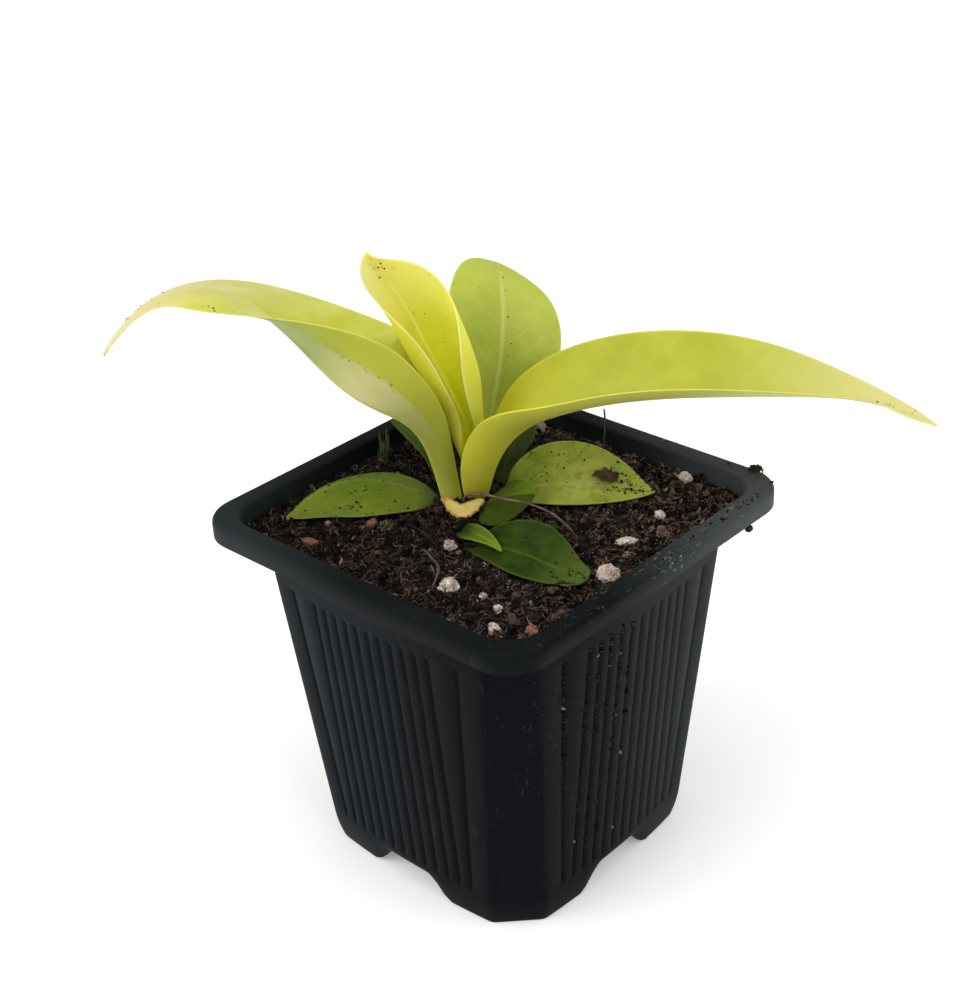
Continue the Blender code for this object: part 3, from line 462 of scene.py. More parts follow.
# Control points of Bezier curves from stalk to tip: the midrib, the way the
# upper side faces, and for each half its width, fold and curl.
LEAVES = {
    "leaf_left": {
        "midrib": [(-13.3, -1.4, 79.5), (-17.2, -4.8, 105.5), (-1.5, -20.3, 114.0),
                   (-12.1, -37.9, 109.3), (-26.1, -21.1, 113.7), (-42.4, -11.5, 127.5),
                   (-65.6, -25.9, 138.9), (-71.6, -43.3, 113.5)],
        "faces": [(0.2, 0.83, 0.03), (0.43, 0.5, 0.49), (-0.67, 0.27, 0.81), (0.06, 0.26, 0.91)],
        "left": ((3.9, 5.3, 11.4, 24.3, 31.2, 20.4, 0.8), (49, 70, 2, 9), (25, 53, -112, -19)),
        "right": ((3.0, 4.4, 6.1, 27.6, 25.6, -1.7, 64.0, -2, 1.7), (20, 45, 123, -47, 20, -6),
                  (69, 79, 155, -144, 70, -4)),
        "stands": True, "slot": "leaf_young", "stalk": 0.24, "rib": 0.75, "vein_gap": 6.0,
    },
    "leaf_right": {
        "midrib": [(-8.2, 6.1, 79.3), (3.3, -2.7, 89.2), (-4.1, 3.4, 113.6), (12.3, 18.9, 106.8),
                   (37.1, 36.8, 100.9), (47.7, 51.8, 104.5), (46.1, 63.2, 100.0), (64.9, 69.7, 93.4)],
        "faces": [(-0.72, -0.23, -0.34), (0.32, -0.28, -0.04), (0.18, 0.17, 1.15), (-0.22, -0.02, 1.05)],
        "left": ((3.4, 3.9, 13.1, 20.1, 20.9, 11.9, 0.8), (3, 14, 28, 4), (67, 15, 11, -8)),
        "right": ((4.7, 8.2, 17.2, 21.2, 21.2, 12.2, 0.8), (34, 30, 31, 9), (92, 37, 3, -12)),
        "stands": True, "slot": "leaf_young", "stalk": 0.26, "rib": 0.75, "vein_gap": 6.0,
    },
    "leaf_upright": {
        "midrib": [(-12.9, 6.9, 80.0), (-10.5, 9.0, 98.4), (-15.7, 2.1, 105.7), (-15.5, -2.3, 112.0),
                   (-14.5, -2.4, 120.7), (-19.8, -5.5, 128.5), (-21.5, -11.2, 138.1)],
        "faces": [(0.57, -0.59, -0.02), (0.44, -0.33, 0.54), (0.68, -0.51, 1.07), (-0.17, -0.64, 0.67)],
        "left": ((2.1, 0.1, 31.0, -1.2, 5.6, 46.3, 6.7, 12.9, 1.2), (0, 30, 23, 34),
                 (65, 177, 117, -13, 223, 48, 38)),
        "right": ((1.8, 3.7, 20.4, 28.9, 25.6, 15.2, 1.2), (8, 24, 22, 9), (81, 200, 170, -6)),
        "stands": True, "slot": "leaf_yellow", "stalk": 0.22, "rib": 0.5, "vein_gap": 5.0,
    },
    "leaf_back": {
        "midrib": [(-12.0, 10.7, 80.0), (-12.7, 11.4, 90.1), (-13.0, 13.8, 97.3), (-10.0, 16.4, 105.2),
                   (-10.4, 19.0, 116.4), (-16.9, 22.3, 125.2), (-24.4, 31.1, 121.8)],
        "faces": [(0.57, -0.7, 0.01), (0.66, -0.7, 0.0), (0.88, -0.33, 0.32), (0.43, -0.1, 0.95)],
        "left": ((1.8, 2.0, 8.6, 15.8, 18.0, 13.7, 2.5), (19, 11, 14, 5), (53, 16, 10, -5)),
        "right": ((1.8, 2.3, 9.7, 16.1, 16.2, 10.6, 2.5), (25, 11, 2, -1), (59, 14, -7, -12)),
        "stands": True, "slot": "leaf_pale", "stalk": 0.3, "rib": 0.6, "vein_gap": 4.5,
    },
    "leaf_low_left": {
        "midrib": [(-15.7, -1.6, 79.3), (-19.4, -7.0, 83.2), (-29.4, -12.7, 89.0), (-32.8, -21.7, 84.9),
                   (-32.2, -30.3, 81.2)],
        "faces": [(0.15, -0.02, 0.95), (0.02, 0.09, 1.01), (-0.04, -0.07, 0.99)],
        "left": ((1.7, 11.9, 11.9, 9.7, 0.3), (3, -15, -26), (-9, -24, -22)),
        "right": ((1.7, 9.4, 10.6, 8.0, 0.6), (7, -16, -27), (-7, -25, -22)),
        "stands": False, "slot": "leaf_green", "stalk": 0.1, "rib": 0.4, "vein_gap": 2.6,
    },
    "leaf_low_right": {
        "midrib": [(-4.3, 8.9, 79.3), (0.4, 10.4, 83.4), (7.4, 19.0, 83.7), (17.2, 21.8, 81.7),
                   (21.8, 27.8, 80.9)],
        "faces": [(0.2, -0.15, 0.93), (0.21, -0.29, 0.93), (-0.03, -0.16, 0.94)],
        "left": ((1.6, 11.6, 13.2, 9.6, 0.6), (23, 17, 8), (10, 6, 0)),
        "right": ((1.5, 7.7, 8.7, 4.9, 0.2), (11, 1, 3), (2, -5, -4)),
        "stands": False, "slot": "leaf_green", "stalk": 0.1, "rib": 0.4, "vein_gap": 3.2,
    },
    "leaf_low_front": {
        "midrib": [(4.3, -12.5, 79.3), (12.7, -10.4, 82.4), (18.1, -8.4, 80.7), (25.6, -11.6, 81.1),
                   (33.5, -9.7, 81.8)],
        "faces": [(-0.03, -0.1, 0.94), (0.14, -0.26, 0.94), (0.1, -0.1, 1.0)],
        "left": ((1.5, 10.4, 10.1, 5.7, 1.9), (12, 16, 1), (8, 13, 1)),
        "right": ((1.5, 8.4, 7.8, 6.6, 2.2), (8, 6, -3), (7, 16, 0)),
        "stands": False, "slot": "leaf_green", "stalk": 0.1, "rib": 0.35, "vein_gap": 2.4,
    },
    "leaf_small_mid": {
        "midrib": [(-3.6, -0.6, 79.3), (-2.2, 0.7, 82.8), (1.3, 2.0, 84.4), (6.2, 6.1, 84.5)],
        "faces": [(-0.13, -0.05, 1.0), (-0.05, 0.07, 0.98), (0.21, -0.23, 0.95)],
        "left": ((1.5, 7.6, 9.2, 2.0), (3, -11, 8), (-2, -13, 2)),
        "right": ((3.4, 11.4, 8.0, 1.0), (1, -16, -14), (1, -12, -12)),
        "stands": False, "slot": "leaf_green", "stalk": 0.1, "rib": 0.3, "vein_gap": 2.4,
    },
    # Besides thickening the stalk, its large stalk share spreads the dark foot colour, painted shade,
    # over the inner part of the blade.
    "leaf_tiny_front": {
        "midrib": [(-0.7, -9.2, 79.4), (4.6, -12.6, 83.0), (5.7, -9.1, 81.4), (13.6, -13.2, 82.3)],
        "faces": [(0.11, -0.34, 0.93), (0.02, -0.37, 0.88), (-0.07, -0.25, 0.93)],
        "left": ((1.5, 3.1, 1.8, 0.3), (37, 35, 31), (11, 10, 10)),
        "right": ((1.5, 3.5, 1.5, 0.3), (22, 20, 20), (-2, -3, 2)),
        "stands": False, "slot": "leaf_green", "stalk": 0.36, "rib": 0.25, "vein_gap": 1.8,
    },
    "leaf_dark_left": {
        "midrib": [(-24.1, 7.7, 79.3), (-26.6, 9.3, 83.9), (-30.4, 9.2, 84.5), (-40.0, 9.8, 86.9)],
        "faces": [(0.03, 0.05, 1.0), (0.0, 0.01, 0.99), (-0.04, -0.21, 0.97)],
        "left": ((1.5, 3.2, 2.5, 0.5), (12, 8, -2), (11, 8, -1)),
        "right": ((1.5, 2.5, 3.2, 0.3), (10, 8, 6), (10, 8, 6)),
        "stands": False, "slot": "leaf_dark", "stalk": 0.1, "rib": 0.25, "vein_gap": 1.8,
    },
    "leaf_dark_right": {
        "midrib": [(-9.0, 12.5, 79.3), (-10.9, 16.5, 85.1), (-12.3, 22.6, 86.0), (-13.3, 29.0, 88.1)],
        "faces": [(0.08, -0.54, 0.99), (0.38, -0.45, 1.0), (0.42, -0.44, 1.0)],
        "left": ((1.5, 4.5, 4.9, 0.5), (5, 10, 5), (6, 10, 5)),
        "right": ((1.5, 4.2, 5.1, 0.6), (19, 11, 5), (17, 11, 5)),
        "stands": False, "slot": "leaf_dark", "stalk": 0.1, "rib": 0.25, "vein_gap": 1.8,
    },
}
BLADE_MIDDLE, BLADE_MARGIN = 0.42, 0.22  # how thick a blade is
STALK_WALL, LOW_STALK_WALL = 1.1, 0.8
STALK_SUNK = 3.0
NARROW = 2.5  # in its outer part, a half narrower than this folds and curls less
BLUNT_FROM, BLUNT_LENGTH = 0.965, 0.036  # the part of a leaf that its rounded tip takes up
LEAF_ROWS, LEAF_COLUMNS = 110, 45


def bezier(controls, t):
    """Bezier curve through a list of control values, at parameters t."""
    controls = np.asarray(controls, dtype=float)
    degree = len(controls) - 1
    weights = [math.comb(degree, k) * t**k * (1.0 - t) ** (degree - k) for k in range(degree + 1)]
    return np.tensordot(np.array(weights), controls, axes=(0, 0))


def unit(rows):
    return rows / np.linalg.norm(rows, axis=-1, keepdims=True)


def leaf_surface(leaf, t, u):
    """Middle of a blade and its upward directions: t along it, u across it from -1 to 1."""
    spine = bezier(leaf["midrib"], t)
    ahead = unit(bezier(np.diff(leaf["midrib"], axis=0), t))
    face = bezier(leaf["faces"], t)
    face = unit(face - (face * ahead).sum(axis=1, keepdims=True) * ahead)
    side = np.cross(ahead, face)
    blunt = np.sqrt(1.0 - np.clip((t - BLUNT_FROM) / BLUNT_LENGTH, 0.0, 1.0) ** 2)
    halves = []
    for hand in ("left", "right"):
        width, fold, curl = leaf[hand]
        width = np.maximum(bezier(width, t), 0.3)
        flatter = np.radians(np.where(t < 0.5, 1.0, np.minimum(width / NARROW, 1.0)))
        halves.append((width * blunt, flatter * bezier(fold, t), flatter * bezier(curl, t)))
    width, fold, curl = [np.where(u[None] < 0.0, a[:, None], b[:, None]) for a, b in zip(*halves)]
    curl = np.where(np.abs(curl) < 1e-3, 1e-3, curl)
    share = np.abs(u)[None]
    angle = fold + curl * share
    run = width * (np.sin(angle) - np.sin(fold)) / curl * np.sign(u)[None]
    rise = width * (np.cos(fold) - np.cos(angle)) / curl
    points = spine[:, None] + run[..., None] * side[:, None] + rise[..., None] * face[:, None]
    lean = -np.sin(angle) * np.sign(u)[None]
    upward = np.cos(angle)[..., None] * face[:, None] + lean[..., None] * side[:, None]
    return points, upward, width


def leaf_piece(name, leaf, finish, sunk=2.5, torn=0.0, torn_from=0.0):
    """Closed blade: its two faces meet in a thin margin, and the midrib swells underneath.
    Its foot goes on for the sunk length, and torn roughens its margin past torn_from."""
    t = np.linspace(0.0, 1.0, LEAF_ROWS)
    u = np.linspace(-1.0, 1.0, LEAF_COLUMNS)
    middle, upward, width = leaf_surface(leaf, t, u)
    off = width * np.abs(u)[None]
    spine = middle[:, LEAF_COLUMNS // 2]
    if torn:
        bites = np.array([[noise.noise(Vector((16.0 * a, 2.0 * b, 0.0))) for b in u] for a in t])
        nicks = np.array([[noise.noise(Vector((45.0 * a, b, 5.0))) for b in u] for a in t])
        ragged = torn * eased((t[:, None] - torn_from) / 0.1) * (bites + 0.6 * nicks)
        middle = spine[:, None] + (middle - spine[:, None]) * (1.0 + ragged)[..., None]
    reach = np.concatenate([[0.0], np.cumsum(np.linalg.norm(np.diff(spine, axis=0), axis=1))])
    begun = eased((t[:, None] - 0.5 * leaf["stalk"]) / leaf["stalk"])
    blade = BLADE_MARGIN + (BLADE_MIDDLE - BLADE_MARGIN) * (1.0 - u[None] ** 2)
    wall = STALK_WALL if leaf["stands"] else LOW_STALK_WALL
    thick = wall * (1.0 - 0.5 * np.abs(u[None]) ** 3) * (1.0 - begun) + blade * begun
    rib = leaf["rib"] * (1.0 - 0.75 * t[:, None]) * begun
    swell = rib * np.exp(-((off / (0.6 + 1.6 * rib)) ** 2))
    crease = 0.25 * rib * np.exp(-((off / 0.7) ** 2))
    top = middle + (0.5 * thick - crease)[..., None] * upward
    low = middle - (0.5 * thick + swell)[..., None] * upward
    root = np.array([0.0, 0.0, -STALK_SUNK]) if leaf["stands"] else -sunk * unit(spine[1] - spine[0])
    top = np.concatenate([top[:1] + root, top])
    low = np.concatenate([low[:1] + root, low])
    rows, columns = LEAF_ROWS + 1, LEAF_COLUMNS
    index = np.arange(rows * columns).reshape(rows, columns)
    under = index + rows * columns
    faces = []
    for grid in (index, under):
        quads = np.stack([grid[:-1, :-1], grid[1:, :-1], grid[1:, 1:], grid[:-1, 1:]], axis=-1)
        faces += quads.reshape(-1, 4).tolist()
    border = np.concatenate([index[:, 0], index[-1, 1:], index[-2::-1, -1], index[0, -2:0:-1]])
    below = border + rows * columns
    nexts, belows = np.roll(border, -1), np.roll(below, -1)
    faces += np.stack([border, nexts, belows, below], axis=-1).tolist()
    along = np.concatenate([[0.0], reach])[:, None] + 0.0 * index
    off = np.concatenate([off[:1], off])
    margin = np.concatenate([width[:1], width]) - off
    layers = {
        "reach": np.stack([along, along]),
        "off": np.stack([off, off]),
        "margin": np.stack([margin, margin]),
        "upper": np.stack([np.ones_like(off), np.zeros_like(off)]),
        "length": np.stack([along, along]) / reach[-1],
        "across": np.broadcast_to(u, (2, rows, columns)),
    }
    points = np.concatenate([top.reshape(-1, 3), low.reshape(-1, 3)])
    return new_piece(name, points, faces, finish, 70.0, layers)


def leaf_finish(name, leaf, blade, shade, vein, under, foot, tip=None, gloss=0.36, shine=0.25,
                spots=0.5, veins=0.5, rib=0.6, edge=0.55, shaded_half=0.0, glow=0.35, depth=1.2,
                course=(1.0, 0.62), mottled=0.3, streak=0.0):
    """Waxy leaf skin: soft mottling, a pale midrib and margin, curving side veins, and an
    underside with a paler middle. shaded_half paints shade over the half that lies to the
    midrib's right, glow and depth are how much light comes through, course is how far the side
    veins run on for each millimetre along and out, and streak is a faded band along the middle."""
    waxy = Finish(name)
    off, reach, margin, upper, length, across = [
        waxy.layer(key) for key in ("off", "reach", "margin", "upper", "length", "across")
    ]
    clouds = waxy.mottle(9.0, 3.0)
    cells = waxy.mottle(0.3, 2.0)
    run_along, run_out = course
    course = (reach * run_along - off * run_out - off * off * 0.018) / leaf["vein_gap"] + clouds * 0.5
    side_veins = course.math("PINGPONG", 0.5).step(0.0, 0.1, 1.0, 0.0)
    fine_veins = (course * 5.0).math("PINGPONG", 0.5).step(0.0, 0.3, 1.0, 0.0)
    grown = length.step(leaf["stalk"], 1.6 * leaf["stalk"])
    midrib = off.step(0.1, 0.3 + 0.9 * leaf["rib"], 1.0, 0.0) * length.step(0.95, 0.7)
    pale_edge = margin.step(0.0, 0.6, 1.0, 0.0)
    netting = side_veins * margin.step(0.4, 2.5) * grown
    specks = waxy.mottle(0.9, 2.0).step(0.7, 0.76) * waxy.mottle(6.0, 2.0).step(0.5, 0.62)
    colour = waxy.mix(clouds.step(0.3, 0.7), blade, shade)
    colour = waxy.mix(waxy.mottle(2.5, 4.0).step(0.4, 0.7) * mottled, colour, shade)
    faded = waxy.mottle(1.4, 3.0).step(0.42, 0.6) * off.step(1.0, 5.5, 1.0, 0.0) * length.step(0.3, 0.5)
    colour = waxy.mix(faded * streak, colour, vein)
    colour = waxy.mix(length.step(0.55, 1.0) * 0.9, colour, tip or blade)
    inner, outer, far = under
    outward = across.math("ABSOLUTE")
    below = waxy.mix(outward.step(0.47, 0.55), inner, outer)
    grit = waxy.mottle(0.9, 3.0).step(0.6, 0.64) * outward.step(0.42, 0.5) * outward.step(0.6, 0.53)
    below = waxy.mix(grit * spots, below, (0.16, 0.1, 0.03))
    below = waxy.mix(length.step(0.36, 0.5), below, far)
    below = waxy.mix(waxy.mottle(5.0, 3.0).step(0.45, 0.7) * 0.35, below, outer)
    colour = waxy.mix(1.0 - upper, colour, below)
    colour = waxy.mix(fine_veins * grown * 0.12 * veins, colour, vein)
    colour = waxy.mix(netting * veins, colour, vein)
    colour = waxy.mix((midrib * rib).math("MAXIMUM", pale_edge * edge), colour, vein)
    colour = waxy.mix(length.step(0.4 * leaf["stalk"], 1.5 * leaf["stalk"], 0.9, 0.0), colour, foot)
    # Painted shade over the half that lies to the midrib's right.
    colour = waxy.mix(across.step(-0.05, 0.05) * shaded_half, colour, shade)
    colour = waxy.mix(specks * spots, colour, (0.16, 0.1, 0.03))
    relief = netting * -veins - fine_veins * grown * 0.25 * veins + cells * 0.1 + clouds * 0.3
    waxy.shade(
        Base_Color=colour,
        Roughness=gloss + 0.12 * clouds + 0.1 * (1.0 - upper) + 0.15 * specks,
        Normal=waxy.bump(relief, 0.12),
        Subsurface_Weight=glow,
        Subsurface_Radius=(1.0, 1.0, 0.3),
        Subsurface_Scale=depth * MM,
        Specular_IOR_Level=shine,
    )
    return waxy


def same(colour):
    """An underside of one colour all over."""
    return colour, colour, colour


YOUNG = {"blade": (0.5, 0.5, 0.03), "shade": (0.43, 0.45, 0.022), "vein": (0.66, 0.64, 0.14),
         "foot": (0.51, 0.54, 0.065), "veins": 0.05, "rib": 0.35, "edge": 0.4}
OLD = {"gloss": 0.52, "shine": 0.1, "rib": 0.4, "edge": 0.35, "veins": 0.16, "spots": 0.8, "glow": 0.2,
       "course": (0.2, 0.9), "mottled": 0.7}
LEAF_COLOURS = {
    "leaf_left": dict(
        YOUNG, blade=(0.53, 0.52, 0.08), tip=(0.62, 0.52, 0.3), spots=0.8, edge=0.3,
        under=((0.5, 0.47, 0.2), (0.41, 0.42, 0.04), (0.2, 0.27, 0.035))),
    "leaf_right": dict(
        YOUNG, blade=(0.41, 0.42, 0.026), shade=(0.35, 0.37, 0.016), tip=(0.68, 0.62, 0.25),
        foot=(0.59, 0.57, 0.035), under=same((0.46, 0.46, 0.09))),
    "leaf_upright": dict(
        YOUNG, blade=(0.7, 0.67, 0.09), shade=(0.58, 0.59, 0.05), vein=(0.85, 0.82, 0.3),
        foot=(0.6, 0.58, 0.04), tip=(0.62, 0.5, 0.2), under=same((0.6, 0.6, 0.06)),
        rib=0.8, glow=1.0, depth=4.0),
    "leaf_back": dict(
        YOUNG, blade=(0.4, 0.44, 0.055), shade=(0.3, 0.36, 0.035), vein=(0.54, 0.56, 0.16),
        under=same((0.36, 0.42, 0.1)), veins=0.12, rib=0.6, mottled=0.5),
    "leaf_low_left": dict(
        OLD, blade=(0.14, 0.185, 0.015), shade=(0.1, 0.145, 0.01), vein=(0.23, 0.27, 0.04),
        foot=(0.08, 0.1, 0.015), under=same((0.22, 0.28, 0.06))),
    "leaf_low_right": dict(
        OLD, blade=(0.33, 0.375, 0.055), shade=(0.19, 0.235, 0.02), vein=(0.4, 0.42, 0.12),
        foot=(0.12, 0.16, 0.02), under=same((0.28, 0.32, 0.08)), streak=0.6),
    "leaf_low_front": dict(
        OLD, blade=(0.026, 0.052, 0.002), shade=(0.009, 0.02, 0.001), vein=(0.07, 0.12, 0.01),
        foot=(0.015, 0.025, 0.002), tip=(0.06, 0.09, 0.012), under=same((0.1, 0.17, 0.04)), spots=0.6),
    # The half to the right of its midrib is darkened: painted shade.
    "leaf_small_mid": dict(
        OLD, blade=(0.12, 0.17, 0.012), shade=(0.03, 0.05, 0.003), vein=(0.15, 0.2, 0.02),
        foot=(0.03, 0.045, 0.005), under=same((0.2, 0.26, 0.06)), shaded_half=0.85),
    # Its dark foot colour is painted shade over the inner part of the blade.
    "leaf_tiny_front": dict(
        OLD, blade=(0.11, 0.17, 0.006), shade=(0.07, 0.11, 0.004), vein=(0.24, 0.32, 0.02),
        foot=(0.015, 0.022, 0.003), under=same((0.2, 0.26, 0.06)), spots=0.3),
    "leaf_dark_left": dict(
        OLD, blade=(0.045, 0.075, 0.007), shade=(0.03, 0.05, 0.004), vein=(0.09, 0.13, 0.02),
        foot=(0.05, 0.08, 0.01), under=same((0.1, 0.15, 0.03))),
    "leaf_dark_right": dict(
        OLD, blade=(0.035, 0.05, 0.005), shade=(0.02, 0.032, 0.003), vein=(0.07, 0.1, 0.015),
        foot=(0.04, 0.06, 0.01), under=same((0.1, 0.15, 0.03))),
}
for name, leaf in LEAVES.items():
    torn = 0.3 if name == "leaf_low_front" else 0.0
    finish = leaf_finish(name + "_skin", leaf, **LEAF_COLOURS[name])
    blade = leaf_piece(name + "_blade", leaf, finish, torn=torn, torn_from=0.8)
    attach(blade, "root")
    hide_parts(name)


# Loose soil. Crumbs, shreds and fines of dry peat, strewn over the matted bed
# once the leaves stand in it, so that they lie round the blades and not on them.

GAP_EDGE = 0.5  # beyond this a gap is too deep for anything loose to lie over it
WALL_CLEARANCE = 0.8
NEAR_SOIL = 90.0  # a blade above this height keeps nothing off the soil


def ball(detail):
    """Points and faces of a unit ball of triangles."""
    bm = bmesh.new()
    bmesh.ops.create_icosphere(bm, subdivisions=detail, radius=1.0)
    points = np.array([vert.co for vert in bm.verts])
    faces = np.array([[vert.index for vert in face.verts] for face in bm.faces])
    bm.free()
    return points, faces


def loose_grains(seed, places, sizes, detail=1, long=1.6, flat=0.6, rough=0.35):
    """Angular crumbs, each turned and knocked out of shape in its own way."""
    draw = np.random.default_rng(seed)
    ball_points, ball_faces = ball(detail)
    count = len(places)
    shape = np.stack([draw.uniform(1.0, long, count), draw.uniform(0.7, 1.1, count),
                      draw.uniform(flat, 1.0, count)], axis=1)
    knocked = 1.0 + rough * draw.uniform(-1.0, 1.0, (count, len(ball_points), 1))
    points = ball_points * knocked * (0.5 * np.asarray(sizes)[:, None, None]) * shape[:, None]
    turns = np.array([Euler(draw.uniform(-math.pi, math.pi, 3) * (0.25, 0.25, 1.0)).to_matrix()
                      for _ in range(count)])
    points = np.einsum("nij,nkj->nki", turns, points) + np.asarray(places)[:, None]
    faces = ball_faces + (np.arange(count) * len(ball_points))[:, None, None]
    tones = np.repeat(draw.uniform(0.0, 1.0, count), len(ball_points))
    return points.reshape(-1, 3), faces.reshape(-1, 3).tolist(), {"tone": tones}


def over_soil(draw, count):
    """Places spread over the soil, not quite out to the pot's wall."""
    spots = draw.uniform(-1.0, 1.0, (count, 2)) * (SOIL_EDGE - WALL_CLEARANCE)
    corner = np.abs(spots) - (SOIL_EDGE - OPENING_CORNER)
    kept = spots[np.hypot(*np.maximum(corner, 0.0).T) < OPENING_CORNER - WALL_CLEARANCE]
    return np.array([(x, y, soil_height(x, y)) for x, y in kept])


loose = soil_finish("loose_peat", (0.0018, 0.0014, 0.0011), (0.014, 0.009, 0.007), (0.13, 0.06, 0.038),
                    (0.16, 0.1, 0.072))
blades = []
for leaf in LEAVES.values():
    middle, _, _ = leaf_surface(leaf, np.linspace(0.0, 1.0, 60), np.linspace(-1.0, 1.0, 31))
    blades.append(middle.reshape(-1, 3))
blades = np.concatenate(blades)
blades = blades[blades[:, 2] < NEAR_SOIL]
near_blades = kdtree.KDTree(len(blades))
for k, point in enumerate(blades):
    near_blades.insert(point, k)
near_blades.balance()

draw = np.random.default_rng(11)
for name, count, smallest, spread, detail, long, flat, rough, seed in (
    ("soil_crumbs", 1300, 0.6, 1.4, 2, 1.9, 0.45, 0.7, 21),
    ("soil_shreds", 2600, 0.3, 0.45, 1, 5.5, 0.4, 0.5, 23),
    ("soil_fines", 6000, 0.2, 0.55, 1, 2.0, 0.5, 0.6, 22),
):
    places = over_soil(draw, count)
    sizes = smallest + spread * draw.uniform(0.0, 1.0, len(places)) ** 3
    clear = [near_blades.find(place)[2] > 0.5 * size + 0.35 and hollow(*place[:2]) < GAP_EDGE
             for place, size in zip(places, sizes)]
    places, sizes = places[clear], sizes[clear]
    places[:, 2] += 0.18 * sizes + 0.2
    grains = loose_grains(seed, places, sizes, detail, long, flat, rough)
    crumbs = new_piece(name, grains[0], grains[1], loose, 20.0, grains[2])
    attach(crumbs, "root")


# Torn scale. The dry papery sheath that a young leaf has pushed through, left
# lying open at the foot of the stalks, straw-coloured with brown frayed edges.

SCALE = {
    "midrib": [(-10.8, -4.5, 82.2), (-9.0, -4.5, 81.9), (-3.0, -7.6, 80.4), (-3.4, -2.4, 82.2),
               (-3.0, 0.1, 82.6)],
    "faces": [(0.3, -0.35, 0.9), (0.35, -0.4, 0.8), (0.3, -0.35, 0.9)],
    "left": ((0.5, 2.6, 0.2, 3.4, 0.5), (10, 6, 0), (8, 8, 0)),
    "right": ((0.5, 0.6, 3.9, 0.8, 0.5), (8, 4, 0), (6, 6, 0)),
    "stands": False, "stalk": 0.1, "rib": 0.1, "vein_gap": 1.2,
}
straw = leaf_finish("dry_scale_skin", SCALE, (0.62, 0.5, 0.16), (0.5, 0.36, 0.09), (0.3, 0.11, 0.035),
                    same((0.62, 0.45, 0.2)), (0.4, 0.2, 0.08), gloss=0.6, spots=0.8,
                    veins=0.2, rib=0.0, edge=0.9)
scale = leaf_piece("torn_scale_blade", SCALE, straw, sunk=0.2, torn=0.3, torn_from=-0.1)
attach(scale, "root")
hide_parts("torn_scale")


# Perlite, bark and clods. Blown white perlite, chips of pine bark and clods of
# soil, lying on the soil, on a leaf and on the pot's lip.

LUMPS = {  # lump: place, size, turns in degrees, slot
    "perlite_0": ((2.3, -16.3, 80.8), (2.6, 2.2, 2.3), (10, 20, 40), "perlite"),
    "perlite_1": ((13.1, -28.3, 81.0), (4.2, 3.6, 3.0), (15, -10, 25), "perlite"),
    "perlite_2": ((20.4, -26.3, 80.6), (1.8, 1.6, 1.4), (0, 20, 70), "perlite"),
    "perlite_3": ((25.7, -28.1, 80.6), (1.8, 1.7, 1.2), (30, 0, 15), "perlite"),
    "perlite_4": ((30.5, -34.3, 80.8), (3.8, 2.3, 2.2), (0, 12, -20), "perlite"),
    "perlite_5": ((35.2, -5.5, 81.2), (4.9, 4.2, 3.4), (12, 8, 60), "perlite"),
    "perlite_6": ((23.2, 37.0, 81.0), (3.1, 2.6, 2.4), (-15, 10, 10), "perlite"),
    "perlite_7": ((28.7, 20.4, 80.8), (2.3, 2.0, 1.9), (0, 25, 35), "perlite"),
    "perlite_8": ((29.7, 7.5, 80.8), (4.4, 1.9, 1.6), (5, -6, 43), "perlite"),
    "bark_0": ((-22.3, -33.2, 80.6), (3.4, 1.9, 1.5), (8, 6, 30), "bark"),
    "bark_1": ((-17.4, -19.6, 80.7), (2.6, 1.9, 1.6), (0, -14, 80), "bark"),
    "bark_2": ((36.0, -29.7, 80.6), (3.6, 2.0, 1.5), (10, 4, -35), "bark"),
    "crumb_leaf": ((13.1, 22.1, 84.5), (4.6, 2.8, 1.3), (22, 9, 42), "peat_soil"),
    "crumb_rim": ((37.2, 43.0, 85.2), (3.0, 1.8, 1.2), (0, 0, 30), "peat_soil"),
    "crumb_under_rim": ((44.2, 30.6, 78.5), (1.6, 1.4, 1.5), (0, 15, 0), "peat_soil"),
}


def lump_points(name, size, turn_deg, place, crust, crust_width):
    """The source's noisy ball at a finer grain, with a crust of smaller lumps."""
    points, faces = ball(4)
    seed = Vector((7.3 * sum(ord(letter) for letter in name), 0.0, 0.0))
    shaped = []
    for point in points:
        v = Vector(point)
        push = 1.0 + 0.28 * noise.noise(v * 1.4 + seed)
        push += crust * noise.noise(v * (1.6 / crust_width) + seed)
        push += 0.4 * crust * noise.noise(v * (4.5 / crust_width) + seed)
        shaped.append([0.5 * length * push * c for length, c in zip(size, point)])
    turned = np.array(Euler([math.radians(a) for a in turn_deg]).to_matrix())
    return np.array(shaped) @ turned.T + place, faces.tolist()


white = Finish("perlite_grain")
pores = white.mottle(0.5, 3.0)
stain = white.mottle(1.6, 3.0)
chalk = white.mix(stain.step(0.38, 0.62), (0.7, 0.61, 0.53), (0.42, 0.31, 0.24))
chalk = white.mix(white.along("Y").step(-2.0, 6.0) * 0.7, chalk, (0.8, 0.74, 0.66))
white.shade(Base_Color=white.mix(pores.step(0.55, 0.68) * 0.85, chalk, (0.09, 0.055, 0.04)),
            Roughness=0.75 + 0.2 * pores, Normal=white.bump(pores.step(0.7, 0.4), 0.35))
chip = Finish("bark_chip")
strands = chip.mottle(0.7, 4.0, (0.35, 1.0, 2.5))
rind = chip.mix(strands.step(0.35, 0.65), (0.08, 0.028, 0.017), (0.24, 0.09, 0.052))
chip.shade(Base_Color=chip.mix(chip.mottle(0.4, 2.0).step(0.6, 0.75), rind, (0.05, 0.025, 0.015)),
           Roughness=0.7 + 0.2 * strands, Normal=chip.bump(strands, 0.2))
clod = soil_finish("clod", (0.003, 0.002, 0.0015), (0.012, 0.008, 0.006), (0.06, 0.035, 0.022),
                   (0.05, 0.03, 0.02))
rusty = soil_finish("rusty_clod", (0.012, 0.007, 0.005), (0.05, 0.028, 0.018), (0.15, 0.08, 0.05),
                    (0.1, 0.06, 0.04))
lump_kinds = {"perlite": (white, 0.26, 0.6), "bark": (chip, 0.24, 0.7), "peat_soil": (clod, 0.5, 0.5)}
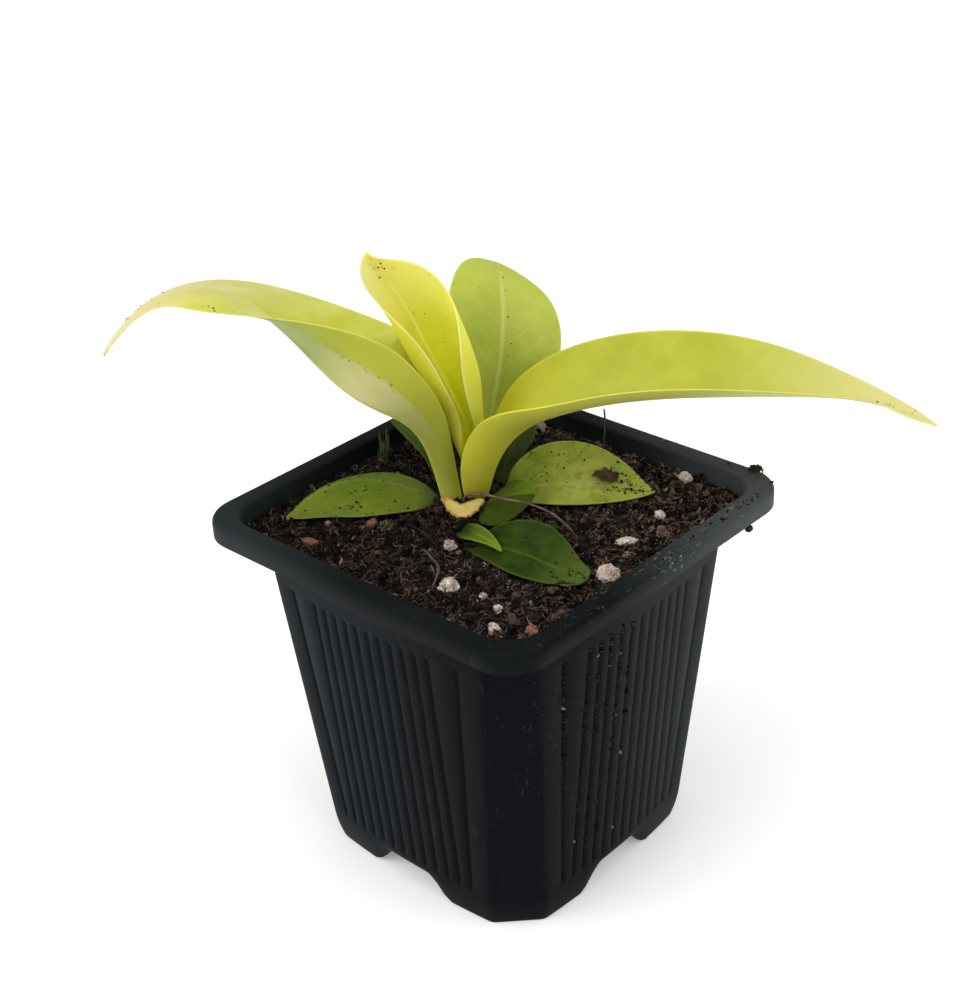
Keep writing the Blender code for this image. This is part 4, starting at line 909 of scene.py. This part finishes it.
for name, (place, size, turn_deg, slot) in LUMPS.items():
    finish, crust, crust_width = lump_kinds[slot] if name != "crumb_leaf" else (rusty, 0.7, 0.35)
    points, faces = lump_points(name, size, turn_deg, place, crust, crust_width)
    lump = new_piece(name + "_lump", points, faces, finish, 60.0, {"tone": np.full(len(points), 0.6)})
    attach(lump, "root")
    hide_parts(name)


# Roots and fibres. A dry surface root arches over the small leaves, with a
# fibre and a twig beside it, and finer root hairs are matted into the soil.

STRANDS = {  # strand: points it passes, radii along it
    "root_strand": ([(-7.6, -1.6, 79.2), (-6.6, -1.9, 83.0), (-1.7, -1.4, 85.0), (3.8, -0.7, 85.5),
                     (8.6, 1.1, 85.3), (13.2, 3.0, 83.8), (17.0, 3.4, 82.0), (20.0, 4.0, 79.3)],
                    (0.3, 0.4, 0.35, 0.3)),
    "soil_fibre": ([(-2.5, -21.0, 79.4), (0.4, -22.2, 81.8), (4.4, -24.0, 82.2), (8.1, -26.0, 81.9),
                    (10.4, -31.2, 79.4)], (0.3, 0.35, 0.3)),
    "back_twig": ([(-0.6, 38.0, 78.6), (-0.6, 38.4, 82.5), (-0.8, 39.0, 86.5), (-1.2, 39.2, 89.5)],
                  (0.4, 0.3, 0.3)),
}


def smooth_path(points, steps):
    """Catmull-Rom curve through the points, evenly stepped."""
    points = np.asarray(points, dtype=float)
    padded = np.vstack([2 * points[0] - points[1], points, 2 * points[-1] - points[-2]])
    path = []
    for s in np.linspace(0.0, len(points) - 1.000001, steps + 1):
        k = int(s)
        u = s - k
        a, b, c, d = padded[k : k + 4]
        bend = (2 * a - 5 * b + 4 * c - d) * u**2 + (3 * b - a - 3 * c + d) * u**3
        path.append(0.5 * (2 * b + (c - a) * u + bend))
    return np.array(path)


def strand_mesh(path, radius, sides, knots=0.0):
    """Round strand along a path; knots swells and narrows it a little."""
    ahead = unit(np.gradient(path, axis=0))
    flat = unit(np.cross(ahead, (0.13, 0.27, 0.95)))
    lift = np.cross(flat, ahead)
    angles = 2.0 * math.pi * np.arange(sides) / sides
    ring = np.cos(angles)[None, :, None] * flat[:, None] + np.sin(angles)[None, :, None] * lift[:, None]
    swell = np.array([1.0 + knots * noise.noise(Vector(p) * 1.1) for p in path])
    points = path[:, None] + (radius * swell)[:, None, None] * ring
    return tube(list(points))


def bundle(strands):
    """Points and faces of many strands as one mesh."""
    points, faces, total = [], [], 0
    for strand, strand_faces in strands:
        points.append(strand)
        faces += [tuple(total + k for k in face) for face in strand_faces]
        total += len(strand)
    return np.concatenate(points), faces


root_bark = Finish("root_bark")
rings_on_root = root_bark.mottle(0.5, 3.0)
bark_tone = root_bark.mottle(3.0, 3.0)
root_colour = root_bark.mix(bark_tone.step(0.35, 0.7), (0.09, 0.05, 0.035), (0.24, 0.15, 0.1))
root_colour = root_bark.mix(root_bark.layer("tone"), (0.025, 0.018, 0.012), root_colour)
root_colour = root_bark.mix(rings_on_root.step(0.6, 0.7) * 0.6, root_colour, (0.04, 0.025, 0.02))
root_bark.shade(Base_Color=root_colour, Roughness=0.7 + 0.2 * rings_on_root,
                Normal=root_bark.bump(rings_on_root, 0.08))
for name, (points, radii) in STRANDS.items():
    path = smooth_path(points, 10 * (len(points) - 1))
    radius = np.interp(np.linspace(0, 1, len(path)), np.linspace(0, 1, len(radii)), radii)
    points, faces = strand_mesh(path, 0.75 * radius, 12, 0.5)
    tones = np.full(len(points), 0.7 if name == "root_strand" else 0.2)
    strand = new_piece(name + "_bark", points, faces, root_bark, 60.0, {"tone": tones})
    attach(strand, "root")
    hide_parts(name)

draw = np.random.default_rng(5)
for name, count, lengths, radii, bend, steps, sides in (
    ("root_hairs", 420, (2.0, 7.0), (0.05, 0.13), 0.7, 12, 5),
    ("soil_curls", 2300, (0.7, 2.6), (0.06, 0.15), 1.3, 8, 4),
):
    strands, tones = [], []
    for x, y, z in over_soil(draw, count):
        if near_blades.find((x, y, z))[2] < 1.5 or hollow(x, y) > GAP_EDGE:
            continue
        heading = draw.uniform(0.0, 2.0 * math.pi)
        length = draw.uniform(*lengths)
        path = [np.array((x, y, z + 0.3))]
        for _ in range(4):
            heading += draw.uniform(-bend, bend)
            step = np.array((math.cos(heading), math.sin(heading), 0.0)) * length / 4.0
            spot = path[-1] + step
            spot[:2] = np.clip(spot[:2], -SOIL_EDGE + 1.0, SOIL_EDGE - 1.0)
            spot[2] = soil_height(*spot[:2]) + draw.uniform(0.2, 0.9)
            path.append(spot)
        path = smooth_path(path, steps)
        radius = draw.uniform(*radii) * np.linspace(1.0, 0.5, len(path))
        strands.append(strand_mesh(path, radius, sides))
        tones += [draw.uniform(0.2, 1.0) ** 2.2] * len(strands[-1][0])
    hairs = new_piece(name, *bundle(strands), root_bark, 60.0, {"tone": tones})
    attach(hairs, "root")


# Moss and sprout. A tuft of moss against the back wall and a seedling in
# front, each a bundle of narrow pointed blades from one foot.

TUFTS = {  # tuft: foot, tips its blades reach for, radius of the foot, blades
    "moss_tuft": ((-37.4, 4.2, 79.4),
                  [(1.0, 0.9, 6.0), (0.1, 1.0, 7.6), (-1.3, -0.2, 7.2), (-0.8, -1.3, 4.0)], 1.0, 42),
    "green_sprout": ((-13.7, -19.0, 79.8),
                     [(1.6, 0.4, 2.6), (-0.6, 1.4, 2.2), (-1.4, -0.8, 2.4)], 0.9, 12),
}
moss = Finish("moss_blades")
moss_tone = moss.mottle(1.5, 3.0)
moss.shade(Base_Color=moss.mix(moss_tone.step(0.35, 0.65), (0.02, 0.04, 0.006), (0.1, 0.14, 0.025)),
           Roughness=0.6 + 0.2 * moss_tone, Normal=moss.bump(moss_tone, 0.1), Subsurface_Weight=0.2,
           Subsurface_Scale=0.5 * MM)
for name, (place, tips, foot_radius, count) in TUFTS.items():
    draw = np.random.default_rng(len(name))
    fronds = []
    for k in range(count):
        tip = np.array(tips[k % len(tips)]) * draw.uniform(0.5, 1.0) + draw.uniform(-0.7, 0.7, 3)
        angle, far = draw.uniform(0.0, 2.0 * math.pi), foot_radius * draw.uniform(0.0, 0.9)
        start = np.array((far * math.cos(angle), far * math.sin(angle), 0.0))
        bow = 0.5 * (start + tip) + draw.uniform(-0.5, 0.5, 3)
        path = smooth_path(np.array([start, bow, tip]) + place, 8)
        radius = 0.12 * np.sin(np.linspace(0.35, 1.0, 9) * math.pi) ** 0.7 + 0.03
        fronds.append(strand_mesh(path, radius, 5))
    tuft = new_piece(name + "_blades", *bundle(fronds), moss, 60.0)
    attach(tuft, "root")
    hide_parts(name)


# Spilt soil. Crumbs that watering and potting have left on the leaves, on the
# pot's lip and in the grooves of its ribbed wall.

DUSTED = {  # leaf: patches of (along, across, spread along, spread across, crumbs, largest)
    "leaf_left": ((0.93, 0.0, 0.05, 0.7, 26, 0.5), (0.62, -0.9, 0.2, 0.1, 10, 0.5)),
    "leaf_right": ((0.9, 0.2, 0.06, 0.6, 10, 0.4), (0.6, 0.2, 0.3, 0.8, 8, 0.35)),
    "leaf_upright": ((0.94, 0.0, 0.03, 0.4, 16, 0.45), (0.6, 0.1, 0.3, 0.8, 12, 0.4)),
    "leaf_back": ((0.7, 0.0, 0.2, 0.8, 12, 0.35),),
    "leaf_low_left": ((0.6, 0.0, 0.4, 0.9, 60, 0.6), (0.4, -0.8, 0.4, 0.2, 30, 0.8)),
    "leaf_low_right": ((0.8, -0.1, 0.1, 0.4, 90, 0.55), (0.83, -0.1, 0.14, 0.8, 60, 0.7),
                       (0.5, -0.5, 0.3, 0.5, 60, 0.5), (0.25, -0.2, 0.15, 0.8, 20, 0.5)),
    "leaf_low_front": ((0.9, 0.1, 0.1, 0.8, 40, 0.6), (0.9, 0.9, 0.06, 0.1, 30, 0.6),
                       (0.5, 0.0, 0.4, 0.9, 30, 0.4)),
    "leaf_small_mid": ((0.5, 0.0, 0.4, 0.9, 16, 0.5),),
}
SMALLEST = 0.18
draw = np.random.default_rng(31)
places, sizes = [], []
for name, patches in DUSTED.items():
    leaf = LEAVES[name]
    for t0, u0, t_spread, u_spread, count, largest in patches:
        for _ in range(count):
            t = np.clip(t0 + t_spread * draw.normal() * 0.6, 0.12, 0.985)
            u = np.clip(u0 + u_spread * draw.normal() * 0.6, -0.96, 0.96)
            spot, upward, _ = leaf_surface(leaf, np.array([t]), np.array([u]))
            size = SMALLEST + (largest - SMALLEST) * draw.uniform() ** 3
            places.append(spot[0, 0] + upward[0, 0] * (0.2 + 0.2 * size))
            sizes.append(size)
grains = loose_grains(41, places, sizes, 1)
dirt = new_piece("crumbs_on_leaves", grains[0], grains[1], clod, 20.0, grains[2])
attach(dirt, "root")

GROOVE_CRUMBS, LONE_GROOVE_CRUMBS, LIP_CRUMBS = 290, 50, 90
places, sizes = [], []
for k in range(GROOVE_CRUMBS):  # on the wall that faces the light
    if k < LONE_GROOVE_CRUMBS:
        z = draw.uniform(45.0, 72.0)
        rise = (z - GROOVE_FOOT) / (GROOVE_TOP - GROOVE_FOOT)
        along = -LONE_FOOT - (LONE_TOP - LONE_FOOT) * rise + draw.normal() * 0.3
    else:
        z = draw.uniform(46.0, 74.0) if k % 3 else draw.uniform(15.0, 74.0)
        along = draw.integers(-GROOVES_BESIDE, 0) * GROOVE_PITCH + draw.normal() * 0.35
    half, chamfer, bulge = body_sizes(z, 0.0)
    s = along / (half - chamfer)
    places.append((half + bulge * (1.0 - s * s) - 0.25, along, z))
    sizes.append(0.3 + 0.9 * draw.uniform() ** 2.5)
for _ in range(LIP_CRUMBS):
    along = draw.uniform(-40.0, 42.0)
    out = draw.uniform(41.6, 44.2)
    spot = (out, along) if draw.uniform() < 0.75 else (along, out)
    places.append((*spot, POT_HEIGHT + 0.05))
    sizes.append(0.25 + 0.6 * draw.uniform() ** 3)
grains = loose_grains(42, places, sizes, 1)
spill = new_piece("crumbs_on_pot", grains[0], grains[1], peat, 20.0, grains[2])
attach(spill, "root")


# Setting. A sheet of pale card that brightens towards its edges, three soft lamps
# in an even glow from all round, and the camera at the photograph's own angle.

FLOOR_HALF = 2000.0
paper = Finish("pale_floor")
# Painted light: the card glows, faintly near the pot and more strongly towards its edges.
away = paper.along("X").math("ABSOLUTE") + paper.along("Y").math("ABSOLUTE")
paper.shade(Base_Color=paper.mix(paper.mottle(60.0, 2.0), (0.86, 0.86, 0.86), (0.9, 0.9, 0.89)),
            Roughness=0.9, Emission_Strength=1.0,
            Emission_Color=paper.mix(away.step(250.0, 1100.0), (0.25, 0.25, 0.25), (0.75, 0.75, 0.75)))
corners = [(x * FLOOR_HALF, y * FLOOR_HALF, 0.0) for x, y in ((-1, -1), (1, -1), (1, 1), (-1, 1))]
floor = new_piece("floor", corners, [(0, 1, 2, 3)], paper)

world = bpy.data.worlds.new("studio")
world.use_nodes = True
backdrop = world.node_tree.nodes["Background"]
backdrop.inputs["Color"].default_value = (1.0, 1.0, 1.0, 1.0)
seen = world.node_tree.nodes.new("ShaderNodeLightPath").outputs["Is Camera Ray"]
strength = world.node_tree.nodes.new("ShaderNodeMapRange")
strength.inputs["To Min"].default_value = 0.45
world.node_tree.links.new(seen, strength.inputs["Value"])
world.node_tree.links.new(strength.outputs[0], backdrop.inputs["Strength"])
bpy.context.scene.world = world

AIM = Vector((0.0, 0.0, 90.0)) * MM
for name, place, watts, size in (
    ("ceiling", (40.0, 40.0, 700.0), 2.6, 0.7),
    ("window", (520.0, -40.0, 420.0), 1.2, 0.5),
    ("front", (-220.0, -540.0, 430.0), 3.0, 0.6),
):
    lamp = bpy.data.lights.new(name, "AREA")
    lamp.energy = watts
    lamp.size = size
    lit = bpy.data.objects.new(name, lamp)
    lit.location = Vector(place) * MM
    lit.rotation_euler = (AIM - lit.location).to_track_quat("-Z", "Y").to_euler()
    bpy.context.scene.collection.objects.link(lit)

CAMERA_PLACE = np.array((216.277, -233.5, 260.5))
AZIMUTH, ELEVATION, ROLL = 0.7564113, 0.5067818, -0.0470034
LENS = 61.63
back = np.array((math.sin(AZIMUTH) * math.cos(ELEVATION), -math.cos(AZIMUTH) * math.cos(ELEVATION),
                 math.sin(ELEVATION)))
level = np.array((math.cos(AZIMUTH), math.sin(AZIMUTH), 0.0))
raised = np.cross(back, level)
right = math.cos(ROLL) * level + math.sin(ROLL) * raised
upright = math.cos(ROLL) * raised - math.sin(ROLL) * level
camera = bpy.data.objects.new("camera", bpy.data.cameras.new("camera"))
camera.data.lens = LENS
camera.data.clip_start = 0.01
camera.matrix_world = Matrix.Translation((CAMERA_PLACE + POT_MIDDLE) * MM) @ Matrix(
    np.column_stack([right, upright, back]).tolist()).to_4x4()
bpy.context.scene.collection.objects.link(camera)
bpy.context.scene.camera = camera
bpy.context.scene.view_settings.view_transform = "Standard"

bpy.context.view_layer.update()
